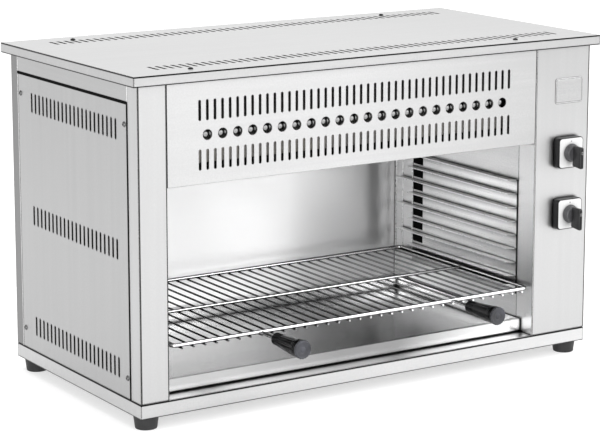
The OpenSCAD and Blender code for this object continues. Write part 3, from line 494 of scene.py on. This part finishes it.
# ---------------------------------------------------------------------------------------------
# Painted shade: near-black strips in the gaps round the side panels, in the racks' windows, behind the
# slots of the side panels and the cap, and from the vent panel's flange up to the reflector.
def rounded_square(wide, high, corner, inset=0.0, turns=9):
    """Points round a rectangle, each side of it set in by inset: four quarter circles about
    points that lie their own radius in from a corner."""
    wide, high, corner = wide - 2 * inset, high - 2 * inset, corner - inset
    angle = np.linspace(0.0, math.pi / 2, turns)[None, :] + np.arange(4)[:, None] * math.pi / 2
    side = np.array([[1, 1], [-1, 1], [-1, -1], [1, -1]], float)
    x = side[:, :1] * (wide / 2 - corner) + corner * np.cos(angle)
    z = side[:, 1:] * (high / 2 - corner) + corner * np.sin(angle)
    return np.stack([x.ravel(), z.ravel()], -1)


def bar(one, other, edge=0.0003):
    """A bar between two corners along its longest side, its section a rectangle with its four
    long edges rounded by a quarter circle."""
    low, high = np.sort([one, other], axis=0)
    along = int(np.argmax(high - low))
    across = [k for k in range(3) if k != along]
    section = rounded_square(*(high - low)[across], edge, turns=4)
    points = np.zeros((2, len(section), 3))
    points[:, :, across] = section + (high + low)[across] / 2
    points[:, :, along] = np.array([low[along], high[along]])[:, None]
    return grid_faces(points)


def pair(part):
    """For the left and the right one of two parts: the low and the high corner of its box, -1 or
    1 for the way outwards along x, and the x of its outer face."""
    for side, way in (("left", -1), ("right", 1)):
        low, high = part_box(side + part)
        yield low, high, way, low.x if way < 0 else high.x


# near-black strips that paint the shade in gaps, windows and behind slots
shade_black = moulded("painted_shade_black", (0.004, 0.004, 0.004), 0.9, 900.0, 0.0002, 0.4, shine=0.05)
ledge_step = 0.022
window_low, window_count, window_front, window_rear = 0.141, 7, 0.1390, 0.1660
slot_half, slot_in = 0.0185, 0.026
cap_row_front, cap_row_rear, cap_row_in = 0.060, 0.053, 0.040
strips = []
for low, high, way, outer in pair("_side_panel"):
    near, far = outer + way * 0.0008, outer - way * 0.0016
    strips.append(bar((near, low.y - 0.0014, high.z - 0.0012), (far, high.y + 0.0010, high.z + 0.0030)))
    strips.append(bar((near, low.y - 0.0020, low.z), (far, low.y + 0.0008, high.z)))
    near = outer - way * 0.0002
    strips.append(bar((near, high.y + 0.0001, low.z), (far, high.y + 0.0009, high.z)))
for low, high, way, outer in pair("_rack"):
    near, far = outer - way * 0.0001, outer - way * 0.0014
    for z in window_low + ledge_step * np.arange(window_count):
        strips.append(bar((near, window_front, z - 0.0068), (far, window_rear, z + 0.0054), 0.0001))
for low, high, way, outer in pair("_side_panel"):
    near, far = outer - way * 0.0022, outer - way * 0.0032
    for z in (low.z + 0.040, (low.z + high.z) / 2, high.z - 0.040):
        strips.append(bar((near, low.y + slot_in, z - slot_half), (far, high.y - slot_in, z + slot_half)))
for y in (cap_low.y + cap_row_front, cap_high.y - cap_row_rear):
    strips.append(bar((cap_low.x + cap_row_in, y - slot_half, cap_high.z - 0.0056),
                      (cap_high.x - cap_row_in, y + slot_half - 0.0030, cap_high.z - 0.0046)))
vent_low, vent_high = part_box("vent_fascia")
skirt_low, skirt_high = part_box("reflector_skirt")
strips.append(bar((skirt_low.x, skirt_low.y - 0.0020, vent_low.z + 0.0013),
                  (skirt_high.x, skirt_low.y - 0.0004, skirt_low.z + 0.0027)))
build("shade_strips", strips, shade_black, "machine", [], 60)


# ---------------------------------------------------------------------------------------------
# Chamber: two walls, a back, the racks with their ledges and the crumb tray, all stainless steel
# in tones that paint the light in the chamber: walls and racks near white, the tray dark. Bright
# bars along the ledges, windows and corners, and outside along the edges round the side panels, are
# painted highlights.
def smoothed(finish, way):
    """Stretches the finish's reflections along the direction way, across its grain."""
    across = finish.node_tree.nodes.new("ShaderNodeCombineXYZ")
    for axis, share in zip("XYZ", way):
        across.inputs[axis].default_value = share
    feed(finish.node_tree, across.outputs["Vector"], socket_of(finish, "Tangent"))
    socket_of(finish, "Anisotropic").default_value = 0.9


def shaded_under(finish, top, step, reach, share):
    """Darkens the finish under a row of ledges. With h the height over one ledge's top, modulo
    step, it falls in a straight line from one to the share as h goes from step less reach to
    step less a tenth of the reach."""
    tree = finish.node_tree
    over = reckon(tree, "SUBTRACT", axes(tree)["Z"], top)
    over = reckon(tree, "FLOORED_MODULO", over, step)
    scaled(finish, between(tree, over, 0.0, 1.0, step - reach, step - 0.1 * reach), share)


# Painted light and shade: chamber steels in tones set by how lit they look.
chamber_sheet = stainless("chamber_sheet", "x", 0.90, 0.35, 0.0012, 0.1)
smoothed(chamber_sheet, (0, 0, 1))
# Painted shade and light on the back: darker towards the right, lighter low down on the left.
tinted(chamber_sheet, "X", 0.08, 0.29, 0.44)
tinted(chamber_sheet, "Z", 0.125, 0.085, 1.30, ("X", 0.04, -0.10))
wall_sheet = stainless("wall_sheet", "y", 0.90, 0.36, 0.0012, 1.6)
runner_sheet = stainless("runner_sheet", "y", 0.96, 0.30, 0.0009, 1.6)
tray_sheet = stainless("tray_sheet", "x", 0.29, 0.20, 0.0020, 0.6, 0.012)
# Painted reflection on the tray: lighter towards both ends and at the back on the left.
tinted(tray_sheet, "X", 0.06, 0.25, 2.9)
tinted(tray_sheet, "X", -0.05, -0.25, 1.70)
tinted(tray_sheet, "X", 0.04, -0.10, 1.75, ("Y", 0.12, 0.17))
rack_low, rack_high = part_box("right_rack")
# Painted shade under each ledge; the racks also darker towards the back and lighter towards the front,
# with a painted dark line along their front edge.
shaded_under(runner_sheet, rack_high.z - 0.0003, ledge_step, 0.013, 0.30)
tinted(runner_sheet, "Y", 0.02, 0.14, 0.90)
tinted(runner_sheet, "Y", 0.02, -0.09, 1.30)
lined(runner_sheet, "Y", rack_low.y + 0.0008, 0.0010, 0.10)
dress(chamber_sheet, "chamber_back")
dress(wall_sheet, "left_chamber_wall", "right_chamber_wall")
dress(runner_sheet, "left_rack", "right_rack")
dress(tray_sheet, "crumb_tray")

# Painted highlights: thin bars of near-white steel along the ledges, the racks' rear folds and the
# corners of the chamber.
highlight_steel = plated("painted_highlight_finish", 0.95, 0.30)
corner_y, deck_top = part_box("chamber_back")[0].y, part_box("deck")[1].z
ledge_count, ledge_thick, ledge_front = 8, 0.0012, 0.0104
bead_wide, bead_head = 0.0026, 0.400
beads = []
for low, high, way, outer in pair("_chamber_wall"):
    inner = low.x + high.x - outer
    for y, foot_z in ((corner_y - 0.0030, deck_top), (rack_high.y - 0.0024, rack_low.z)):
        beads.append(bar((inner - way * 0.0001, y, foot_z),
                         (inner - way * 0.0011, y + bead_wide, bead_head)))
for low, high, way, outer in pair("_rack"):
    face, inner, y = outer - way * ledge_thick, low.x + high.x - outer, window_rear + 0.0010
    beads.append(bar((face - way * 0.0001, y, low.z + 0.001),
                     (face - way * 0.0011, y + bead_wide, high.z + 0.010)))
    for k in range(ledge_count):
        z = high.z - k * ledge_step
        rear = high.y if k % 2 == 0 and k > 0 else high.y - 0.030
        beads.append(bar((inner - way * 0.0003, low.y + ledge_front, z - ledge_thick - 0.0004),
                         (inner + way * 0.0007, rear - 0.0004, z + 0.0002)))
build("chamber_highlight_beads", beads, highlight_steel, "machine", [], 60)
# Painted highlights along the front and rear edges round the side panels.
panel_beads = []
head_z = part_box("left_top_rail")[1].z - 0.017
for low, high, way, outer in pair("_side_panel"):
    near, far = outer + way * 0.0002, outer - way * 0.0008
    for y, foot_z in ((high.y + 0.0010, low.z), (low.y - 0.0014, high.z + 0.0030)):
        panel_beads.append(bar((near, y, foot_z), (far, y + 0.0010, head_z)))
build("side_highlight_beads", panel_beads, highlight_steel, "machine", [], 60)

# ---------------------------------------------------------------------------------------------
# Spacer studs: domed steel heads behind the vent panel's round holes, which keep the wool off it.
stud_profile = [(0.0002, 0.0), (0.0088, 0.0), (0.0090, 0.0006), (0.0082, 0.0024), (0.0064, 0.0040),
                (0.0040, 0.0050), (0.0018, 0.0053), (0.0002, 0.0054)]
stud_steel = plated("stud_steel_finish", 0.30, 0.16)
hole_count, hole_step, hole_z = 22, 0.0247, 0.41775
stud_right, stud_back, stud_down = 0.0044, 0.0124, 0.0018
first_x = (vent_low.x + vent_high.x - (hole_count - 1) * hole_step) / 2 + stud_right
stud_y, stud_z = vent_low.y + stud_back, hole_z - stud_down
stud_heads = [turned(stud_profile, (first_x + k * hole_step, stud_y, stud_z), (0, -1, 0), 20)
              for k in range(hole_count)]
build("stud_heads", stud_heads, stud_steel, "machine", [], 50)


# ---------------------------------------------------------------------------------------------
# Reflector: a flat sheet over the elements with strips under its edges, heat-tinted and painted dark
# for the shade behind the vent panel, under a blanket of mineral wool; boards of the same wool stand
# behind the chamber's walls, the wool painted near black for the shade it lies in.
def heated(name, colour, polish):
    """Steel tinted by heat: straw and violet patches follow a slow noise, and flecks of the
    plain colour over them a fine one."""
    finish, tree = new_finish(name)
    patches, flecks = noise(tree, 14.0, 4.0), noise(tree, 420.0, 3.0)
    straw = tuple(c * k for c, k in zip(colour, (1.12, 1.08, 0.96)))
    violet = tuple(c * k for c, k in zip(colour, (0.86, 0.84, 0.88)))
    shade = blend(tree, between(tree, patches, 0.0, 1.0, 0.35, 0.65), violet, straw)
    shade = blend(tree, between(tree, flecks, 0.0, 0.6, 0.45, 0.75), shade, colour)
    worn = between(tree, flecks, polish - 0.05, polish + 0.12)
    return coat(finish, shade, worn, 1.0, flecks, 0.00004, 0.6, 0.0006)


def woolly(name, colour):
    """Mineral wool: pale and dark strands from two noises stretched across each other, raised."""
    finish, tree = new_finish(name)
    lying = noise(tree, (900.0, 90.0, 900.0), 4.0)
    crossing = noise(tree, (110.0, 1000.0, 500.0), 4.0)
    dark = tuple(c * 0.6 for c in colour)
    shade = blend(tree, between(tree, lying, 0.0, 1.0), dark, colour)
    shade = blend(tree, between(tree, crossing, 0.0, 0.6), shade, dark)
    socket_of(finish, "Sheen Weight").default_value = 0.2
    return coat(finish, shade, 0.95, 0.0, lying, 0.0008, 0.8)


# heat tint with painted shade: the reflector and the wool near black
dark_reflector = heated("heat_tint_and_shade_steel", (0.062, 0.061, 0.060), 0.30)
wool = woolly("mineral_wool", (0.045, 0.043, 0.040))
lit_skirt = heated("heat_tint_and_light_skirt", (0.34, 0.338, 0.333), 0.34)
# painted light on the skirt: lighter on its lower part, darker higher up
tinted(lit_skirt, "Z", 0.396, 0.412, 0.28)
dress(dark_reflector, "reflector", "element_hangers")
dress(lit_skirt, "reflector_skirt")
dress(wool, "insulation_blanket", "left_insulation", "right_insulation", "rear_insulation")

# ---------------------------------------------------------------------------------------------
# Elements: tubes folded back and forth under the reflector, their alloy sheath darkened by heat,
# with brass ferrules and nuts and pale ceramic beads where they go through it.
tube_heat = heated("tube_heat", (0.14, 0.13, 0.125), 0.42)
brass = plated("brass_finish", 0.75, 0.28, (0.95, 0.78, 0.42))
ceramic = moulded("ceramic_finish", (0.80, 0.77, 0.70), 0.25, 600.0, 0.00003, 0.05, 0.0004)
dress(tube_heat, "left_element", "right_element")
dress(brass, "element_nuts")
dress(ceramic, "element_beads")


# ---------------------------------------------------------------------------------------------
# Wiring: a loom in a braided glass sleeve from the ceramic terminal block to the switches and
# the element ends, all behind the panels.
def braided(name, colour):
    """Braid: two sets of waves crossed at right angles, darker where they dip."""
    finish, tree = new_finish(name)
    place = tree.nodes.new("ShaderNodeTexCoord")
    heights = []
    for turn in (0.8, -0.8):
        lean = tree.nodes.new("ShaderNodeMapping")
        lean.inputs["Rotation"].default_value = (turn, turn, 0.0)
        wave = tree.nodes.new("ShaderNodeTexWave")
        wave.inputs["Scale"].default_value = 160.0
        wave.inputs["Distortion"].default_value = 0.4
        tree.links.new(place.outputs["Object"], lean.inputs["Vector"])
        tree.links.new(lean.outputs["Vector"], wave.inputs["Vector"])
        heights.append(wave.outputs["Fac"])
    height = reckon(tree, "MULTIPLY", *heights)
    shade = blend(tree, height, tuple(c * 0.45 for c in colour), colour)
    return coat(finish, shade, 0.75, 0.0, height, 0.0004, 0.8)


glass_braid = braided("glass_braid", (0.40, 0.12, 0.08))
dress(glass_braid, "wiring_loom")
dress(ceramic, "terminal_block")


# ---------------------------------------------------------------------------------------------
# Grid: round steel wire, bent, welded and then chromed, with two short wires into each grip. Its chrome
# is painted darker than the handle wires', the thick bars under the thin wires painted darker still and
# darkest to the left, and the front bar painted bright: painted shade and light.
def chromed(name, tone, polish):
    """Bright plating over drawn wire: clear with slow changes of polish and tiny ripples, and a painted
    dark reflection where the wire curves away from the eye."""
    finish, tree = new_finish(name)
    ripple, haze = noise(tree, 260.0, 2.0), noise(tree, 30.0, 3.0)
    shade = blend(tree, haze, tuple(tone * c for c in (0.86, 0.86, 0.87)), tone)
    # painted dark reflection along the wire's rim, where it turns from the eye
    slant = tree.nodes.new("ShaderNodeLayerWeight")
    slant.inputs["Blend"].default_value = 0.5
    edge = between(tree, slant.outputs["Facing"], 0.0, 1.0, 0.32, 0.60)
    worn = between(tree, haze, polish, polish + 0.1)
    return coat(finish, blend(tree, edge, shade, 0.04), worn, 1.0, ripple, 0.00006, 0.6)


wire_chrome = chromed("wire_chrome", 0.88, 0.06)
grid_chrome = chromed("grid_chrome", 0.74, 0.06)
grid_low, grid_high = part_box("wire_grid")
wires_foot, bars_top = grid_high.z - 0.0024, grid_high.z - 0.0034
# painted shade on the bars, darkest to the left, and painted light on the front bar
tinted(grid_chrome, "Z", wires_foot, bars_top, 0.55)
tinted(grid_chrome, "X", 0.10, -0.15, 0.14, ("Z", bars_top, bars_top - 0.0004))
tinted(grid_chrome, "Y", grid_low.y + 0.0060, grid_low.y + 0.0050, 2.6, ("Z", wires_foot, bars_top))
dress(grid_chrome, "wire_grid")
dress(wire_chrome, "left_handle_wires", "right_handle_wires")

# ---------------------------------------------------------------------------------------------
# Grips: black thermoset handles, moulded over the two wires. Each widens towards the front and
# has four long ridges, fine cross ribs at the rear and a collar before its blue-grey end cap.
grip_black = moulded("grip_black", (0.003, 0.003, 0.0033), 0.13, 1500.0, 0.00003, 0.3, shine=0.30)
cap_blue = moulded("cap_blue_grey", (0.024, 0.025, 0.032), 0.40, 900.0, 0.00025, 0.6)


def grip_surface(centre, front, length, thin, thick):
    """The grip's radius at a share t of its length and an angle: it widens by a slow S-curve in
    t, plus ridges that are narrow bells in the angle, plus ribs that are a wave in t at the
    rear, plus a collar and a groove that are bells in t; both ends close in on a quarter circle."""
    rows, count = 150, 96
    ridge_high, ridge_wide, waist = 0.00080, 0.06, 0.00050
    rib_deep, rib_step, edge = 0.00034, 0.0022, 0.0012
    t = np.linspace(0.0, 1.0, rows)[:, None]
    angle = np.linspace(0.0, 2 * math.pi, count, endpoint=False)[None, :]
    radius = thin + (thick - thin) * (t * t * (3 - 2 * t) * 0.7 + t * 0.3) + 0 * angle
    inside = np.clip((t - 0.14) / 0.06, 0, 1) * np.clip((0.86 - t) / 0.05, 0, 1)
    for ridge in (55, 125, 235, 305):
        apart = np.angle(np.exp(1j * (angle - math.radians(ridge))))
        radius = radius + ridge_high * inside * np.exp(-(apart / ridge_wide) ** 2)
    ribs = (0.5 - 0.5 * np.cos(t * length / rib_step * 2 * math.pi)) * (t < 0.30) * (t > 0.03)
    radius = radius - waist * inside - rib_deep * ribs
    for place, spread, rise in ((0.90, 0.018, 0.0003), (0.865, 0.012, -0.0004)):
        radius = radius + rise * np.exp(-((t - place) / spread) ** 2)
    near = np.clip(np.minimum(t, 1 - t) * length / edge, 0, 1)
    radius = radius - edge * (1 - np.sqrt(np.clip(1 - (1 - near) ** 2, 0, 1)))
    x = centre[0] + radius * np.cos(angle)
    y = front + (1 - t) * length + 0 * angle
    z = centre[1] + radius * np.sin(angle)
    return grid_faces(np.stack([x, y, z], -1))


cap_profile = [(0.0002, -0.0002), (0.0130, -0.0002), (0.0136, 0.0004), (0.0140, 0.0014),
               (0.0139, 0.0026), (0.0134, 0.0035), (0.0124, 0.0040), (0.0112, 0.0039),
               (0.0104, 0.0034), (0.0098, 0.0033), (0.0050, 0.0034), (0.0044, 0.0031),
               (0.0038, 0.0034), (0.0002, 0.0034)]
rim_waves = (20, [0, 0, 0.0002, 0.0006, 0.0008, 0.0008, 0.0006, 0.0003, 0, 0, 0, 0, 0, 0])
end_caps = []
for side in ("left", "right"):
    low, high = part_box(side + "_grip")
    x, z = (low.x + high.x) / 2, (low.z + high.z) / 2
    shape = grip_surface((x, z), low.y, high.y - low.y, 0.00925, 0.0135)
    build(side + "_moulded_grip", [shape], grip_black, "grid", [side + "_grip"], 40)
    end_caps.append(turned(cap_profile, (x, low.y, z), (0, -1, 0), 160, flutes=rim_waves))
build("grip_end_caps", end_caps, cap_blue, "grid", ["grip_caps"], 40)

# ---------------------------------------------------------------------------------------------
# Switches: a black moulded bezel with a white anodised dial plate let into it, and a black knob
# with a wing and a ringed hub, which turns on the switch's steel spindle. The knob's black is a
# lighter copy of the bezel's, painted light for its lit sides; its hub is painted lighter still, a
# painted highlight; and a face of the bezel's black on the wing's front paints the shade there.
bezel_black = moulded("bezel_black", (0.006, 0.006, 0.0065), 0.32, 1800.0, 0.00004, 0.3, shine=0.22)
knob_black = moulded("knob_black", (0.018, 0.018, 0.019), 0.32, 1800.0, 0.00004, 0.3, shine=0.32)
pointer_grey = moulded("pointer_grey", (0.30, 0.30, 0.30), 0.40, 1500.0, 0.00004, 0.2)
switch_black = moulded("switch_black", (0.02, 0.02, 0.022), 0.45, 1200.0, 0.00004, 0.3, 0.0006)
knob_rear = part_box("upper_knob")[1].y
# Painted highlight: the hub and the wing's root lighter.
tinted(knob_black, "Y", knob_rear - 0.0094, knob_rear - 0.0088, 3.6)


def stacked(outlines, centre, depths, loop=False):
    """Outlines in x and z about a centre, each at its own y, joined one to the next."""
    flat = np.stack(outlines)
    y = np.broadcast_to(np.asarray(depths, float)[:, None], flat.shape[:2])
    return grid_faces(np.stack([centre[0] + flat[..., 0], y, centre[1] + flat[..., 1]], -1), loop)


def dial_finish(name, dot_x, dot_z):
    """White anodised sheet, lightly brushed, with painted shade close to the knob, and a small printed
    dot: grey where the distance from the dot's middle is under its radius."""
    finish, tree = new_finish(name)
    grain = noise(tree, (1800.0, 1800.0, 30.0), 2.0)
    place = axes(tree)
    flat = tree.nodes.new("ShaderNodeCombineXYZ")
    away = tree.nodes.new("ShaderNodeVectorMath")
    away.operation = "DISTANCE"
    away.inputs[1].default_value = (dot_x, 0.0, dot_z)
    for axis in "XZ":
        tree.links.new(place[axis], flat.inputs[axis])
    tree.links.new(flat.outputs["Vector"], away.inputs[0])
    dot = between(tree, away.outputs["Value"], 1.0, 0.0, 0.0010, 0.0013)
    sheet = blend(tree, between(tree, grain, 0.0, 1.0), 0.55, 0.64)
    # painted shade near the knob, where little open space is left
    sheet = blend(tree, shut_in(tree, 0.012, 0.8, 0.90), sheet, 0.16)
    sheet = blend(tree, dot, sheet, (0.16, 0.16, 0.17))
    return coat(finish, sheet, between(tree, grain, 0.32, 0.42), 0.15, grain, 0.00001, 0.5)


bezel_corner, bezel_bore, plate_corner, plate_bore = 0.006, 0.0084, 0.0048, 0.0080
plate_gap, plate_edge, dot_rise = 0.0002, 0.00015, 0.0180
wing_thick, wing_tall, wing_corner, wing_root = 0.0080, 0.0350, 0.0032, 0.0080
face_thick, face_tall, face_corner, mark_drop = 0.0042, 0.0300, 0.0016, 0.0115
for level in ("upper", "lower"):
    low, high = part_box(level + "_bezel")
    axis = ((low.x + high.x) / 2, (low.z + high.z) / 2)
    wide, deep, front_y = high.x - low.x, high.y - low.y, high.y
    plate_low, plate_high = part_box(level + "_plate")
    plate_wide, plate_thick = plate_high.x - plate_low.x, plate_high.y - plate_low.y
    rim = (wide - plate_wide) / 2 - plate_gap
    steps = [(0.0006, 0.0), (0.0, 0.0006), (0.0, deep - 0.0016), (0.00015, deep - 0.0008),
             (0.0005, deep - 0.0002), (0.0009, deep), (rim, deep), (rim, deep - plate_thick)]
    outlines = [rounded_square(wide, wide, bezel_corner, inset) for inset, _ in steps]
    outlines += [rounded_square(bezel_bore, bezel_bore, bezel_bore / 2 - 0.0001)] * 2
    depths = [front_y - d for _, d in steps] + [front_y - deep + plate_thick, front_y]
    build(level + "_moulded_bezel", [stacked(outlines, axis, depths, loop=True)], bezel_black,
          "machine", [level + "_bezel"], 50)
    outlines = [rounded_square(plate_wide, plate_wide, plate_corner, inset)
                for inset in (0.0, 0.0, plate_edge)]
    outlines += [rounded_square(plate_bore, plate_bore, plate_bore / 2 - 0.0001)] * 2
    depths = [plate_high.y, plate_low.y + plate_edge, plate_low.y, plate_low.y, plate_high.y]
    dial = dial_finish(level + "_dial", axis[0], axis[1] + dot_rise)
    build(level + "_dial_plate", [stacked(outlines, axis, depths, loop=True)], dial,
          "machine", [level + "_plate"], 40)

    low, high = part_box(level + "_knob")
    skirt, tip, body = high.y, low.y, level + "_control"
    hub = soften([(0.0002, 0.0), (0.0140, 0.0), (0.0143, 0.0004), (0.0143, 0.0016),
                  (0.0138, 0.0020), (0.0129, 0.0021), (0.0128, 0.0040), (0.0122, 0.0044),
                  (0.0122, 0.0050), (0.0128, 0.0054), (0.0127, 0.0078), (0.0116, 0.0088),
                  (0.0104, 0.0090), (0.0100, 0.0086), (0.0002, 0.0086)], 0.0003, 3)
    hub = turned(hub, (axis[0], skirt, axis[1]), (0, -1, 0), 72)
    root, middle = skirt - wing_root, (axis[0], (high.z + low.z) / 2)
    share = np.array([0.0, 0.35, 0.70, 0.88, 0.945, 0.98, 1.0])
    wings = []
    for t, inset in zip(share, (0.0, 0.0001, 0.0002, 0.0003, 0.0006, 0.0012, 0.0020)):
        ring = rounded_square(wing_thick, wing_tall, wing_corner, inset)
        ring[:, 1] *= np.where(ring[:, 1] < 0, 0.86 + 0.14 * t, 1.0)
        wings.append(ring)
    wing = stacked(wings, middle, root + share * (tip - root))
    build(level + "_moulded_knob", [hub, wing], knob_black, body, [level + "_knob"],
          45)
    # Painted shade: a face in the bezel's darker black over the wing's front.
    face = stacked([rounded_square(face_thick, face_tall, face_corner, inset)
                    for inset in (0.0, 0.0, 0.0002)],
                   middle, [tip + 0.0004, tip - 0.0001, tip - 0.0003])
    build(level + "_wing_face", [face], bezel_black, body, [], 45)
    steps = [(0.0030, 0.0002), (0.0030, -0.0004), (0.0026, -0.0006), (0.0022, -0.0004), (0.0022, 0.0002)]
    ring = stacked([rounded_square(a, a * 1.5, a * 0.49) for a, _ in steps],
                   (axis[0], high.z - mark_drop), [tip + d for _, d in steps], loop=True)
    build(level + "_pointer_ring", [ring], pointer_grey, body, [], 45)
dress(switch_black, "upper_switch", "lower_switch")
dress(zinc, "upper_spindle", "lower_spindle", "switch_screws")

# ---------------------------------------------------------------------------------------------
# Badge plate: a blank brushed plate on the control column, with an engraved line round it.
low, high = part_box("badge_plate")
middle = ((low.x + high.x) / 2, (low.z + high.z) / 2)
wide, tall, thick = high.x - low.x, high.z - low.z, high.y - low.y
steps = [(0.0, 0.0), (0.0, thick - 0.00025), (0.0001, thick - 0.00008), (0.0003, thick),
         (0.0018, thick), (0.0020, thick - 0.0002), (0.0022, thick - 0.0002), (0.0024, thick),
         (0.0030, thick)]
outlines = [rounded_square(wide, tall, 0.004, inset) for inset, _ in steps]
badge_sheet = stainless("badge_sheet", "x", 0.44, 0.24, 0.0006)
build("blank_badge_plate", [stacked(outlines, middle, [high.y - d for _, d in steps])], badge_sheet,
      "machine", ["badge_plate"], 20)

# ---------------------------------------------------------------------------------------------
# Supply entry at the back: a black cable gland whose dome nut is ribbed, its lock nut inside the
# panel, and the earthing stud with its brass nut.
gland_black = moulded("gland_black", (0.016, 0.016, 0.017), 0.40, 1500.0, 0.00004, 0.3, 0.0003)
dress(gland_black, "cable_gland", "gland_nut")
dress(zinc, "earth_stud")
dress(brass, "earth_nut")
